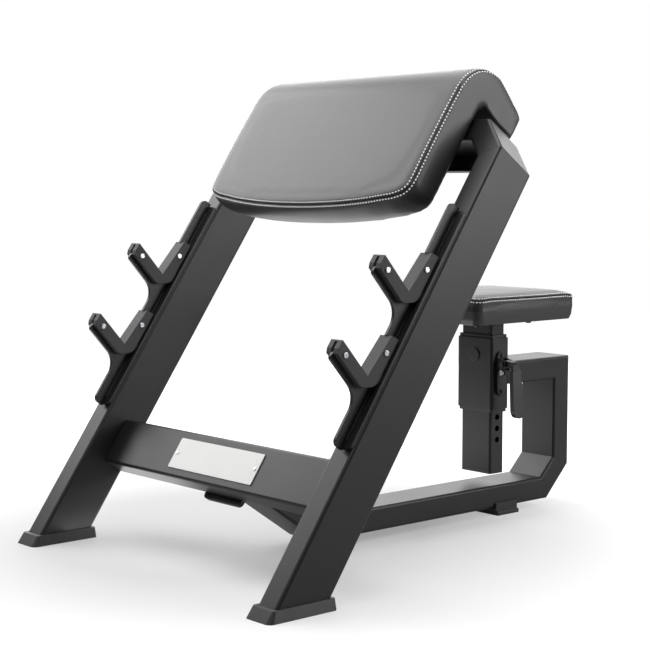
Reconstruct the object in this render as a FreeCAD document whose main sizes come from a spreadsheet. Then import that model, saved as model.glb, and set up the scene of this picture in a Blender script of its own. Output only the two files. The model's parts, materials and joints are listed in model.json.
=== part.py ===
import FreeCAD, Part
import math
import os
import Sketcher
from FreeCAD import Placement, Rotation, Vector

# Preacher curl bench in millimetres: a leaning front frame with bar racks, an arm pad over its top,
# and a low spine that carries a height-adjusted seat. X runs across the bench, Y from the racks back
# to the seat and Z up. The origin is on the floor, under the middle of the bench's box.

# Driving dimensions
SIZES = {
    # Rectangular frame tube
    "tube_wide": 100.0,
    "tube_deep": 50.0,
    "tube_wall": 3.0,
    "tube_round": 6.0,
    # Front frame: u is measured up the legs' front faces from the floor
    "frame_width": 795.0,
    "frame_depth": 1160.5,
    "lean": 55.35,
    "leg_rise": 962.0,
    "corner_run": 65.5,
    "bend": 45.0,
    "crossbar_rise": 272.0,
    "gusset_thick": 6.0,
    # Badge plate on the crossbar
    "badge_wide": 260.0,
    "badge_tall": 64.0,
    "badge_thick": 2.0,
    "badge_round": 3.0,
    "badge_shift": -6.0,
    "badge_margin": 9.0,
    "rivet_shank": 4.0,
    "rivet_head": 7.0,
    "rivet_rise": 1.6,
    "rivet_grip": 8.0,
    # Rubber boots under the legs
    "boot_toe": 8.7,
    "boot_heel": 23.0,
    "boot_side": 9.5,
    "boot_tall": 20.5,
    "boot_sole": 6.0,
    "boot_lip": 4.0,
    "boot_lip_toe": 8.5,
    "boot_lip_heel": 6.0,
    "boot_round": 12.0,
    "lip_round": 5.0,
    "boot_fit": 0.2,
    # Flange between crossbar and spine
    "flange_wide": 114.0,
    "flange_tall": 122.0,
    "flange_thick": 9.0,
    "flange_round": 10.0,
    "flange_bolt": 10.0,
    "flange_bolt_x": 40.0,
    "flange_bolt_u": 34.0,
    # Spine
    "beam_clear": 15.6,
    "rear_run": 71.0,
    "arm_top": 335.5,
    # Rear rubber shoe
    "shoe_inset": 211.0,
    "shoe_long": 67.0,
    "shoe_wide": 120.0,
    "shoe_step": 9.0,
    "shoe_wall": 4.5,
    "shoe_lip": 11.0,
    "shoe_fit": 0.2,
    # Seat sleeve and its bushes
    "sleeve_wide": 104.0,
    "sleeve_deep": 54.0,
    "sleeve_inset": 232.7,
    "sleeve_low": 233.5,
    "sleeve_tall": 155.5,
    "bush_seat": 46.0,
    "bush_proud": 7.0,
    "bush_fit": 0.1,
    "slide_gap": 0.4,
    "plug_hole": 22.0,
    "plug_head": 30.0,
    "plug_proud": 2.0,
    "plug_rise": 351.0,
    # Seat post with its lock holes
    "post_wide": 88.0,
    "post_deep": 42.0,
    "post_wall": 3.0,
    "post_round": 5.0,
    "post_low": 91.0,
    "lock_rise": 315.0,
    "lock_pitch": 25.0,
    "lock_steps": 6.0,
    "lock_hole": 13.0,
    "cap_thick": 3.0,
    "cap_plug": 14.0,
    # Seat
    "seat_low": 429.0,
    "seat_wide": 270.0,
    "seat_long": 309.0,
    "seat_corner": 18.0,
    "seat_shift": -4.0,
    "seat_side": 54.0,
    "seat_crown": 12.0,
    "seat_draw": 5.0,
    "seat_plate_thick": 6.0,
    "seat_plate_wide": 160.0,
    "seat_plate_long": 200.0,
    "seat_plate_round": 15.0,
    "seat_board_thick": 15.0,
    "seat_board_inset": 12.0,
    "seat_bolt": 8.0,
    "seat_bolt_x": 60.0,
    "seat_bolt_y": 80.0,
    "board_fit": 0.3,
    # Lock: mount, pin, lever and grip
    "mount_wide": 30.0,
    "mount_low": 263.5,
    "mount_tall": 97.0,
    "mount_thick": 5.0,
    "mount_screw": 6.0,
    "mount_screw_inset": 9.0,
    "ear_gap": 20.0,
    "ear_thick": 4.0,
    "ear_round": 10.0,
    "pivot_out": 17.0,
    "pivot_pin": 8.0,
    "crank": 18.0,
    "pin_size": 12.0,
    "pin_bite": 9.0,
    "pin_travel": 10.0,
    "pin_tail": 6.0,
    "pin_gap": 0.25,
    "clevis_size": 5.0,
    "clevis_head": 13.0,
    "clevis_rise": 3.0,
    "hub_round": 9.0,
    "lever_gap": 0.4,
    "fork_wide": 10.0,
    "fork_wall": 3.2,
    "fork_tail": 6.0,
    "lever_thick": 6.0,
    "lever_reach": 26.0,
    "lever_drop": 108.0,
    "lever_flare": 9.0,
    "grip_wide": 37.0,
    "grip_top": 25.0,
    "grip_wall": 2.2,
    "grip_tail": 6.0,
    "grip_fit": 0.1,
    # Arm pad, in the leaning plane: u up the legs from the top tube, forward square to them
    "pad_wide": 610.0,
    "pad_low": -251.5,
    "pad_low_end": -215.5,
    "pad_shelf": 30.0,
    "pad_shelf_end": 16.0,
    "pad_front": 74.0,
    "pad_front_crown": 5.0,
    "pad_edge_round": 16.0,
    "pad_top": 99.5,
    "pad_apex_in": 8.0,
    "pad_shoulder": 24.5,
    "pad_rear": 102.0,
    "pad_rear_top": 68.5,
    "pad_end_swell": 5.0,
    "pad_lower_swell": 6.0,
    "bracket_thick": 5.0,
    "bracket_wide": 60.0,
    "bracket_x": 180.0,
    "bracket_low": -147.5,
    "bracket_end": 84.0,
    "board_thick": 15.0,
    "board_half": 268.0,
    "board_low": -177.5,
    "board_top": 12.5,
    "board_start": 14.0,
    "board_end": 80.0,
    "pad_bolt": 8.0,
    "pad_bolt_low": -122.5,
    "pad_bolt_high": -72.5,
    # Bar racks on the legs' front faces
    "rack_base_wide": 42.0,
    "rack_base_thick": 5.5,
    "rack_low": 320.0,
    "rack_high": 820.0,
    "rack_end": 6.0,
    "rack_plate_thick": 6.0,
    "rack_strip": 28.5,
    "rack_round": 12.0,
    "fork_rise": 623.0,
    "fork_pitch": 172.0,
    "fork_out": 35.8,
    "cup_angle": 41.0,
    "fork_depth": 34.5,
    "fork_reach": 79.0,
    "fork_fillet": 36.0,
    "fork_tip_round": 7.0,
    "liner_web": 3.5,
    "liner_thick": 30.0,
    "liner_tall": 66.0,
    "liner_depth": 24.0,
    "liner_keel": 19.5,
    "liner_rear_gap": 2.5,
    "liner_nose": 16.5,
    "liner_bevel": 4.0,
    "liner_shoulder": 9.5,
    "liner_fit": 0.2,
    "screw_size": 6.0,
    "screw_head": 11.0,
    "screw_rise": 2.6,
    "screw_along": 64.0,
    "screw_depth": 13.0,
    "rear_screw_along": 56.0,
    "rear_screw_depth": 8.5,
    "screw_fit": 0.2,
}
OVERRUN = 60.0
FILLET_SHARE = 0.45


class Size:
    # A number, and the expression that ties it to the sheet
    def __init__(self, value, text):
        self.value = value
        self.text = text

    def __add__(self, other):
        return Size(self.value + size(other).value, f"({self.text} + {size(other).text})")

    def __radd__(self, other):
        return size(other) + self

    def __sub__(self, other):
        return Size(self.value - size(other).value, f"({self.text} - {size(other).text})")

    def __rsub__(self, other):
        return size(other) - self

    def __mul__(self, other):
        return Size(self.value * size(other).value, f"({self.text} * {size(other).text})")

    def __rmul__(self, other):
        return size(other) * self

    def __truediv__(self, other):
        return Size(self.value / size(other).value, f"({self.text} / {size(other).text})")

    def __neg__(self):
        return Size(-self.value, f"(0 - {self.text})")


def size(amount):
    if isinstance(amount, Size):
        return amount
    return Size(float(amount), f"({float(amount)})")


def sin(angle):
    return Size(math.sin(math.radians(size(angle).value)), f"sin({size(angle).text})")


def cos(angle):
    return Size(math.cos(math.radians(size(angle).value)), f"cos({size(angle).text})")


def tan(angle):
    return sin(angle) / cos(angle)


def root(amount):
    return Size(math.sqrt(amount.value), f"sqrt({amount.text})")


class Sheet:
    # The spreadsheet, with each of its cells as a Size by name
    def __init__(self, document):
        cells = document.addObject("Spreadsheet::Sheet", "sizes")
        for row, (name, amount) in enumerate(SIZES.items(), start=1):
            cells.set(f"A{row}", name)
            cells.set(f"B{row}", str(amount))
            cells.setAlias(f"B{row}", name)
            setattr(self, name, Size(amount, f"sizes.{name}"))


doc = FreeCAD.newDocument("preacher_bench")
s = Sheet(doc)
doc.recompute()
subparts = []


# Making bodies, outlines and features

def bind(item, name, amount):
    item.setExpression(name, size(amount).text)


def place_text(x, y, z, turn=0.0):
    corner = f"vector({size(x).text}; {size(y).text}; {size(z).text})"
    return f"placement({corner}; rotation(vector(1; 0; 0); {size(turn).text}))"


def new_body(label, place):
    body = doc.addObject("PartDesign::Body", label)
    body.Label = label
    body.setExpression("Placement", place)
    subparts.append(body)
    return body


def origin_plane(body, role):
    return next(feature for feature in body.Origin.OriginFeatures if feature.Role == role)


def new_sketch(body, role, at, turn):
    sketch = body.newObject("Sketcher::SketchObject", "Outline")
    sketch.AttachmentSupport = [(origin_plane(body, role), "")]
    sketch.MapMode = "FlatFace"
    x, y, z = (size(amount).text for amount in at)
    spin = f"rotation(vector(0; 0; 1); {size(turn).text})"
    sketch.setExpression("AttachmentOffset", f"placement(vector({x}; {y}; {z}); {spin})")
    return sketch


def pin_point(sketch, edge, end, x, y):
    for kind, amount in (("DistanceX", x), ("DistanceY", y)):
        number = sketch.addConstraint(Sketcher.Constraint(kind, -1, 1, edge, end, size(amount).value))
        bind(sketch, f"Constraints[{number}]", amount)


def draw(body, role, points, at=(0, 0, 0), turn=0.0):
    # A closed outline. A point may carry the swell of the edge that leaves it, positive to the right of
    # the way it runs, which makes that edge an arc.
    sketch = new_sketch(body, role, at, turn)
    corners = [Vector(size(point[0]).value, size(point[1]).value, 0) for point in points]
    edges = []
    for number, point in enumerate(points):
        start = corners[number]
        end = corners[(number + 1) % len(points)]
        if len(point) == 2:
            edges.append(sketch.addGeometry(Part.LineSegment(start, end)))
            continue
        run = (end - start).normalize()
        middle = (start + end) * 0.5 + Vector(run.y, -run.x, 0) * size(point[2]).value
        edges.append(sketch.addGeometry(Part.Arc(start, middle, end)))
    starts = []
    for number, edge in enumerate(edges):
        near = (sketch.getPoint(edge, 1) - corners[number]).Length
        far = (sketch.getPoint(edge, 2) - corners[number]).Length
        starts.append(1 if near < far else 2)
    for number, edge in enumerate(edges):
        after = (number + 1) % len(edges)
        sketch.addConstraint(
            Sketcher.Constraint("Coincident", edge, 3 - starts[number], edges[after], starts[after])
        )
        pin_point(sketch, edge, starts[number], *points[number][:2])
    for number, point in enumerate(points):
        if len(point) == 3:
            following = points[(number + 1) % len(points)]
            across = size(following[0]) - point[0]
            along = size(following[1]) - point[1]
            swell = size(point[2]) if size(point[2]).value > 0 else -size(point[2])
            radius = (across * across + along * along) / (8.0 * swell) + swell / 2.0
            index = sketch.addConstraint(Sketcher.Constraint("Radius", edges[number], radius.value))
            bind(sketch, f"Constraints[{index}]", radius)
    return sketch


def draw_circles(body, role, centres, radius, at=(0, 0, 0), turn=0.0):
    sketch = new_sketch(body, role, at, turn)
    for x, y in centres:
        middle = Vector(size(x).value, size(y).value, 0)
        ring = sketch.addGeometry(Part.Circle(middle, Vector(0, 0, 1), size(radius).value))
        pin_point(sketch, ring, 3, x, y)
        index = sketch.addConstraint(Sketcher.Constraint("Radius", ring, size(radius).value))
        bind(sketch, f"Constraints[{index}]", radius)
    return sketch


def rounded(wide, tall, radius, x=0.0, y=0.0):
    # Corners of a rectangle with round corners, as points for draw
    right = x + size(wide) / 2
    left = x - size(wide) / 2
    top = y + size(tall) / 2
    low = y - size(tall) / 2
    swell = radius * (1.0 - cos(45.0))
    return [
        (left + radius, low), (right - radius, low, swell),
        (right, low + radius), (right, top - radius, swell),
        (right - radius, top), (left + radius, top, swell),
        (left, top - radius), (left, low + radius, swell),
    ]


def pad(body, sketch, length, symmetric=False, reverse=False):
    feature = body.newObject("PartDesign::Pad", "Pad")
    feature.Profile = sketch
    feature.SideType = "Symmetric" if symmetric else "One side"
    feature.Reversed = reverse
    bind(feature, "Length", length)
    doc.recompute()
    return feature


def pocket(body, sketch, length, symmetric=False, reverse=False):
    before = body.Shape.Volume
    feature = body.newObject("PartDesign::Pocket", "Pocket")
    feature.Profile = sketch
    feature.SideType = "Symmetric" if symmetric else "One side"
    feature.Reversed = reverse
    bind(feature, "Length", length)
    doc.recompute()
    if body.Shape.Volume > before - 1.0:
        raise RuntimeError(f"{body.Label}: a pocket cut nothing")
    return feature


def loft(body, sketches):
    feature = body.newObject("PartDesign::AdditiveLoft", "Loft")
    feature.Profile = sketches[0]
    feature.Sections = sketches[1:]
    feature.Ruled = True
    doc.recompute()
    return feature


def cut_loft(body, sketches):
    feature = body.newObject("PartDesign::SubtractiveLoft", "LoftCut")
    feature.Profile = sketches[0]
    feature.Sections = sketches[1:]
    doc.recompute()
    return feature


def runs_along(direction):
    # Chooses the straight edges that lie along a direction
    way = Vector(*direction).normalize()

    def chosen(edge):
        if edge.Curve.TypeId != "Part::GeomLine":
            return False
        run = (edge.Vertexes[-1].Point - edge.Vertexes[0].Point).normalize()
        return abs(run.dot(way)) > 0.999

    return chosen


def soften(body, radius, chosen):
    base = body.Tip
    names = [f"Edge{number}" for number, edge in enumerate(base.Shape.Edges, start=1) if chosen(edge)]
    if not names:
        raise RuntimeError(f"{body.Label}: no edge to round")
    feature = body.newObject("PartDesign::Fillet", "Fillet")
    feature.Base = (base, names)
    bind(feature, "Radius", radius)
    doc.recompute()
    if "Invalid" in feature.State:
        raise RuntimeError(f"{body.Label}: {len(names)} edges took no round")
    return feature


def spread(role, along):
    # A direction of a sketch on an origin plane, as a direction of the body
    x, y = (size(amount).value for amount in along)
    return {"XY_Plane": (x, y, 0), "XZ_Plane": (x, 0, y), "YZ_Plane": (0, x, y)}[role]


def tube(label, place, role, first, second, along, depth, offset=0.0, symmetric=False, reverse=False):
    # A length of frame tube from its side view: first and second are its long edges, each from start to
    # end, with second to the left of first. Its ends are cut as the edges' ends lie, and stay open.
    body = new_body(label, place)
    sketch = draw(body, role, [first[0], first[1], second[1], second[0]], (0, 0, offset))
    pad(body, sketch, depth, symmetric, reverse)
    soften(body, s.tube_round, runs_along(spread(role, along)))
    x, y = along
    left = (-size(y) * s.tube_wall, size(x) * s.tube_wall)
    over = (size(x) * OVERRUN, size(y) * OVERRUN)
    hollow = [
        (first[0][0] + left[0] - over[0], first[0][1] + left[1] - over[1]),
        (first[1][0] + left[0] + over[0], first[1][1] + left[1] + over[1]),
        (second[1][0] - left[0] + over[0], second[1][1] - left[1] + over[1]),
        (second[0][0] - left[0] - over[0], second[0][1] - left[1] - over[1]),
    ]
    inner = 0.0 if symmetric else (offset - s.tube_wall if reverse else offset + s.tube_wall)
    pocket(body, draw(body, role, hollow, (0, 0, inner)), depth - 2 * s.tube_wall, symmetric, not reverse)
    return body


def group(label, shape, places):
    # Identical fasteners as separate solids of one sub-part
    item = doc.addObject("Part::Feature", label)
    item.Label = label
    copies = []
    for place in places:
        copy = shape.copy()
        copy.Placement = place
        copies.append(copy)
    item.Shape = Part.makeCompound(copies)
    subparts.append(item)
    return item


def headed(shank, length, head, rise, dome=False):
    # A fastener along Z: its shank runs down from the seat of its head at zero
    stem = Part.makeCylinder(shank.value / 2, length.value, Vector(0, 0, -length.value))
    top = Part.makeCylinder(head.value / 2, rise.value)
    if dome:
        top = top.makeFillet(rise.value * FILLET_SHARE, [top.Edges[0]])
    return stem.fuse(top).removeSplitter()


def hexagon(across, tall, bore):
    # A nut along Z from zero, with a plain bore
    ring = [
        Vector(math.cos(math.radians(60 * corner)), math.sin(math.radians(60 * corner)), 0)
        for corner in range(7)
    ]
    flat = across.value / 2 / math.cos(math.radians(30))
    face = Part.Face(Part.makePolygon([point * flat for point in ring]))
    nut = face.extrude(Vector(0, 0, tall.value))
    return nut.cut(Part.makeCylinder(bore.value / 2, tall.value))


def lean_place(x, u, forward, turn=0.0):
    # A place in the leaning frame, whose Z stands forward of the legs' front faces
    frame = Placement(Vector(0, front_y.value, 0), Rotation(Vector(1, 0, 0), s.lean.value))
    spot = Vector(size(x).value, size(u).value, size(forward).value)
    return frame * Placement(spot, Rotation(Vector(1, 0, 0), turn))


# Shared places

front_y = (s.boot_toe - s.frame_depth) / 2
LEANING = place_text(0, front_y, 0, s.lean)
SPINE = place_text(0, front_y, 0)
half_width = s.frame_width / 2
leg_x = half_width - s.tube_deep / 2
top_u = s.leg_rise + s.corner_run
mitre = s.tube_deep * tan(s.bend / 2)
lean_cos = cos(s.lean)
lean_sin = sin(s.lean)
TOPPED = place_text(0, front_y + top_u * lean_cos, top_u * lean_sin, s.lean)
SIDES = (("left", -1.0), ("right", 1.0))


def side_view(u, behind):
    # A point of the leaning plane, by its height up the legs and its distance behind their front faces
    return (u * lean_cos + behind * lean_sin, u * lean_sin - behind * lean_cos)


# Front frame

def make_leg(name, side):
    inner_x = side * (half_width - s.tube_deep)
    outer_x = side * half_width
    inner = ((inner_x, size(0)), (inner_x, s.leg_rise - mitre))
    outer = ((outer_x, size(0)), (outer_x, s.leg_rise))
    edges = (outer, inner) if side > 0 else (inner, outer)
    leg = tube(f"{name}_leg", LEANING, "XY_Plane", *edges, (size(0), size(1)), s.tube_wide, reverse=True)
    # The foot is cut level with the floor
    back = s.tube_wide + OVERRUN
    below = [
        ((s.boot_sole - OVERRUN * lean_cos) / lean_sin, OVERRUN),
        (-OVERRUN, OVERRUN),
        (-OVERRUN, -back),
        ((s.boot_sole + back * lean_cos) / lean_sin, -back),
    ]
    pocket(leg, draw(leg, "YZ_Plane", below), 2 * s.frame_width, symmetric=True)


def make_corner(name, side):
    outer = ((side * half_width, s.leg_rise), (side * (half_width - s.corner_run), top_u))
    inner = (
        (side * (half_width - s.tube_deep), s.leg_rise - mitre),
        (side * (half_width - s.corner_run - mitre), top_u - s.tube_deep),
    )
    along = (-side * sin(s.bend), cos(s.bend))
    edges = (outer, inner) if side > 0 else (inner, outer)
    tube(f"{name}_corner", LEANING, "XY_Plane", *edges, along, s.tube_wide, reverse=True)


def make_top_tube():
    wide = half_width - s.corner_run
    lower = ((mitre - wide, top_u - s.tube_deep), (wide - mitre, top_u - s.tube_deep))
    upper = ((-wide, top_u), (wide, top_u))
    tube("top_tube", LEANING, "XY_Plane", lower, upper, (size(1), size(0)), s.tube_wide, reverse=True)


def make_top_gusset():
    gusset = new_body("top_gusset", LEANING)
    low = s.leg_rise - mitre
    high = top_u - s.tube_deep
    wide = half_width - s.tube_deep
    narrow = half_width - s.corner_run - mitre
    outline = [(-wide, low), (wide, low), (narrow, high), (-narrow, high)]
    pad(gusset, draw(gusset, "XY_Plane", outline, (0, 0, -s.tube_wide / 2)), s.gusset_thick, reverse=True)


def flange_holes():
    return [
        (side_x * s.flange_bolt_x, s.crossbar_rise + side_u * s.flange_bolt_u)
        for side_x in (-1.0, 1.0) for side_u in (-1.0, 1.0)
    ]


def badge_holes():
    reach = s.badge_wide / 2 - s.badge_margin
    return [(s.badge_shift + side * reach, s.crossbar_rise) for side in (-1.0, 1.0)]


def make_crossbar():
    wide = half_width - s.tube_deep
    low = s.crossbar_rise - s.tube_wide / 2
    high = s.crossbar_rise + s.tube_wide / 2
    front = s.tube_deep - s.tube_wide
    bar = tube(
        "crossbar", LEANING, "XY_Plane", ((-wide, low), (wide, low)), ((-wide, high), (wide, high)),
        (size(1), size(0)), s.tube_deep, front, reverse=True,
    )
    holes = draw_circles(bar, "XY_Plane", flange_holes(), s.flange_bolt / 2 + s.pin_gap, (0, 0, -s.tube_wide))
    pocket(bar, holes, s.tube_wall + s.pin_gap, reverse=True)
    holes = draw_circles(bar, "XY_Plane", badge_holes(), s.rivet_shank / 2 + s.screw_fit, (0, 0, front))
    pocket(bar, holes, s.tube_wall + s.pin_gap)


def make_badge():
    front = s.tube_deep - s.tube_wide
    plate = new_body("badge_plate", LEANING)
    outline = rounded(s.badge_wide, s.badge_tall, s.badge_round, s.badge_shift, s.crossbar_rise)
    pad(plate, draw(plate, "XY_Plane", outline, (0, 0, front)), s.badge_thick)
    holes = draw_circles(plate, "XY_Plane", badge_holes(), s.rivet_shank / 2 + s.screw_fit, (0, 0, front))
    pocket(plate, holes, s.badge_thick, reverse=True)
    rivet = headed(s.rivet_shank, s.rivet_grip, s.rivet_head, s.rivet_rise, dome=True)
    places = [lean_place(x, u, front + s.badge_thick) for x, u in badge_holes()]
    group("badge_rivets", rivet, places)


def leg_section(rise):
    # Front and rear of the legs' level section at a height above the floor
    front = rise / tan(s.lean)
    return front, front + s.tube_wide / lean_sin


def boot_outline(rise, side, toe, heel, flank, radius):
    front, back = leg_section(rise)
    low = front - toe
    high = back + heel
    return rounded(s.tube_deep + 2 * flank, high - low, radius, side * leg_x, (low + high) / 2)


def make_boot(name, side):
    boot = new_body(f"{name}_foot", SPINE)
    base = boot_outline(size(0), side, s.boot_toe, s.boot_heel, s.boot_side, s.boot_round)
    lip = boot_outline(s.boot_tall, side, s.boot_lip_toe, s.boot_lip_heel, s.boot_lip, s.lip_round)
    loft(boot, [draw(boot, "XY_Plane", base), draw(boot, "XY_Plane", lip, (0, 0, s.boot_tall))])
    socket = []
    for rise in (s.boot_sole, s.boot_tall + s.boot_lip):
        fit = boot_outline(rise, side, s.boot_fit, s.boot_fit, s.boot_fit, s.boot_lip)
        socket.append(draw(boot, "XY_Plane", fit, (0, 0, rise)))
    cut_loft(boot, socket)


# Spine

beam_top = s.beam_clear + s.tube_deep
strut_low_u = s.crossbar_rise - s.tube_deep / 2
strut_high_u = s.crossbar_rise + s.tube_deep / 2
strut_start = s.tube_wide + s.flange_thick
heel_low = side_view(strut_low_u, (strut_low_u * lean_sin - s.beam_clear) / lean_cos)
heel_high = side_view(strut_high_u, (strut_high_u * lean_sin - beam_top) / lean_cos)
tail_low = (s.frame_depth - s.rear_run, s.beam_clear)
tail_high = (s.frame_depth - s.rear_run - mitre, beam_top)
rear_low = (s.frame_depth, s.beam_clear + s.rear_run)
rear_high = (s.frame_depth - s.tube_deep, s.beam_clear + s.rear_run + mitre)
shoulder_out = (s.frame_depth, s.arm_top)
shoulder_in = (s.frame_depth - s.tube_deep, s.arm_top - s.tube_deep)
sleeve_run = s.frame_depth - s.sleeve_inset
sleeve_y = front_y + sleeve_run
sleeve_back = sleeve_run + s.sleeve_deep / 2


def make_flange():
    plate = new_body("flange_plate", LEANING)
    outline = rounded(s.flange_wide, s.flange_tall, s.flange_round, 0.0, s.crossbar_rise)
    back = (0, 0, -s.tube_wide)
    pad(plate, draw(plate, "XY_Plane", outline, back), s.flange_thick, reverse=True)
    holes = draw_circles(plate, "XY_Plane", flange_holes(), s.flange_bolt / 2 + s.pin_gap, back)
    pocket(plate, holes, s.flange_thick)
    nut_tall = 0.8 * s.flange_bolt
    grip = s.flange_thick + s.tube_wall + nut_tall
    bolt = headed(s.flange_bolt, grip, 1.6 * s.flange_bolt, 0.6 * s.flange_bolt, dome=True)
    seat = -s.tube_wide - s.flange_thick
    group("flange_bolts", bolt, [lean_place(x, u, seat, 180.0) for x, u in flange_holes()])
    nut = hexagon(1.6 * s.flange_bolt, nut_tall, s.flange_bolt + s.screw_fit)
    inside = s.tube_wall - s.tube_wide
    group("flange_nuts", nut, [lean_place(x, u, inside) for x, u in flange_holes()])


def make_spine():
    level = (size(1), size(0))
    slope = (sin(s.bend), cos(s.bend))
    strut_low = (side_view(strut_low_u, strut_start), heel_low)
    strut_high = (side_view(strut_high_u, strut_start), heel_high)
    runs = (
        ("front_strut", strut_low, strut_high, (lean_sin, -lean_cos)),
        ("floor_beam", (heel_low, tail_low), (heel_high, tail_high), level),
        ("rear_corner", (tail_low, rear_low), (tail_high, rear_high), slope),
        ("rear_upright", (rear_low, shoulder_out), (rear_high, shoulder_in), (size(0), size(1))),
        (
            "seat_arm", (shoulder_out, (sleeve_back, s.arm_top)),
            (shoulder_in, (sleeve_back, s.arm_top - s.tube_deep)), (size(-1), size(0)),
        ),
    )
    for label, first, second, along in runs:
        tube(label, SPINE, "YZ_Plane", first, second, along, s.tube_wide, symmetric=True)


def make_rear_foot():
    shoe = new_body("rear_foot", place_text(0, front_y + s.frame_depth - s.shoe_inset, 0))
    base = s.shoe_wide / 2
    inside = s.tube_wide / 2 + s.shoe_fit
    outside = inside + s.shoe_wall
    top = s.beam_clear + s.shoe_lip
    right = [(base, size(0)), (base, s.shoe_step), (outside, s.shoe_step), (outside, top), (inside, top),
             (inside, s.beam_clear)]
    left = [(-x, z) for x, z in reversed(right)]
    pad(shoe, draw(shoe, "XZ_Plane", right + left), s.shoe_long, symmetric=True)
    soften(shoe, s.shoe_wall * FILLET_SHARE, lambda edge: edge.BoundBox.ZMin > s.shoe_step.value - 0.01
           and abs(edge.CenterOfMass.x) > base.value - 0.01)


# Seat sleeve, bushes and plug

SEATED = place_text(0, sleeve_y, 0)
sleeve_top = s.sleeve_low + s.sleeve_tall
bore_wide = s.sleeve_wide - 2 * s.tube_wall
bore_deep = s.sleeve_deep - 2 * s.tube_wall


def make_sleeve():
    sleeve = new_body("seat_sleeve", SEATED)
    low = (0, 0, s.sleeve_low)
    outside = rounded(s.sleeve_wide, s.sleeve_deep, s.tube_round)
    pad(sleeve, draw(sleeve, "XY_Plane", outside, low), s.sleeve_tall)
    bore = rounded(bore_wide, bore_deep, s.tube_round - s.tube_wall)
    pocket(sleeve, draw(sleeve, "XY_Plane", bore, low), s.sleeve_tall, reverse=True)
    face = (0, 0, s.sleeve_wide / 2)
    hole = draw_circles(sleeve, "YZ_Plane", [(0, s.lock_rise)], s.pin_size / 2 + s.pin_gap, face)
    pocket(sleeve, hole, s.tube_wall + s.pin_gap)
    screws = draw_circles(sleeve, "YZ_Plane", mount_holes(), s.mount_screw / 2 + s.screw_fit, face)
    pocket(sleeve, screws, s.tube_wall + s.pin_gap)
    front = (0, 0, s.sleeve_deep / 2)
    hole = draw_circles(sleeve, "XZ_Plane", [(0, s.plug_rise)], s.plug_hole / 2 + s.screw_fit, front)
    pocket(sleeve, hole, s.tube_wall + s.pin_gap)
    plug = new_body("sleeve_plug", SEATED)
    pad(plug, draw_circles(plug, "XZ_Plane", [(0, s.plug_rise)], s.plug_hole / 2, front), s.tube_wall,
        reverse=True)
    pad(plug, draw_circles(plug, "XZ_Plane", [(0, s.plug_rise)], s.plug_head / 2, front), s.plug_proud)
    far = -(s.sleeve_deep / 2 + s.plug_proud)
    soften(plug, s.plug_proud * FILLET_SHARE, lambda edge: abs(edge.BoundBox.YMax - far.value) < 0.01)


def make_bush(label, low):
    bush = new_body(label, SEATED)
    tall = s.bush_seat + s.bush_proud
    outer = rounded(bore_wide - 2 * s.bush_fit, bore_deep - 2 * s.bush_fit, s.tube_round - s.tube_wall)
    pad(bush, draw(bush, "XY_Plane", outer, (0, 0, low)), tall)
    inner = rounded(s.post_wide + 2 * s.slide_gap, s.post_deep + 2 * s.slide_gap, s.post_round)
    pocket(bush, draw(bush, "XY_Plane", inner, (0, 0, low)), tall, reverse=True)


# Seat: post, cap, plate, board and cushion

plate_low = s.seat_low - s.seat_plate_thick
post_foot = s.post_low + s.cap_thick


def make_post():
    post = new_body("seat_post", SEATED)
    low = (0, 0, post_foot)
    tall = plate_low - post_foot
    pad(post, draw(post, "XY_Plane", rounded(s.post_wide, s.post_deep, s.post_round), low), tall)
    bore = rounded(s.post_wide - 2 * s.post_wall, s.post_deep - 2 * s.post_wall, s.post_round - s.post_wall)
    pocket(post, draw(post, "XY_Plane", bore, low), tall, reverse=True)
    face = (0, 0, s.post_wide / 2)
    hole = draw_circles(post, "YZ_Plane", [(0, s.lock_rise)], s.lock_hole / 2, face)
    first = pocket(post, hole, s.post_wall + s.pin_gap)
    row = post.newObject("PartDesign::LinearPattern", "LockHoles")
    row.Originals = [first]
    row.Direction = (hole, ["V_Axis"])
    row.Reversed = True
    bind(row, "Length", s.lock_pitch * s.lock_steps)
    bind(row, "Occurrences", s.lock_steps + 1)
    post.Tip = row
    doc.recompute()
    cap = new_body("post_cap", SEATED)
    flange = rounded(s.post_wide, s.post_deep, s.post_round)
    pad(cap, draw(cap, "XY_Plane", flange, (0, 0, s.post_low)), s.cap_thick)
    wide = s.post_wide - 2 * s.post_wall - 2 * s.bush_fit
    deep = s.post_deep - 2 * s.post_wall - 2 * s.bush_fit
    plug = rounded(wide, deep, s.post_round - s.post_wall)
    pad(cap, draw(cap, "XY_Plane", plug, (0, 0, post_foot)), s.cap_plug)


def seat_holes():
    return [(x * s.seat_bolt_x, y * s.seat_bolt_y) for x in (-1.0, 1.0) for y in (-1.0, 1.0)]


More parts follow.
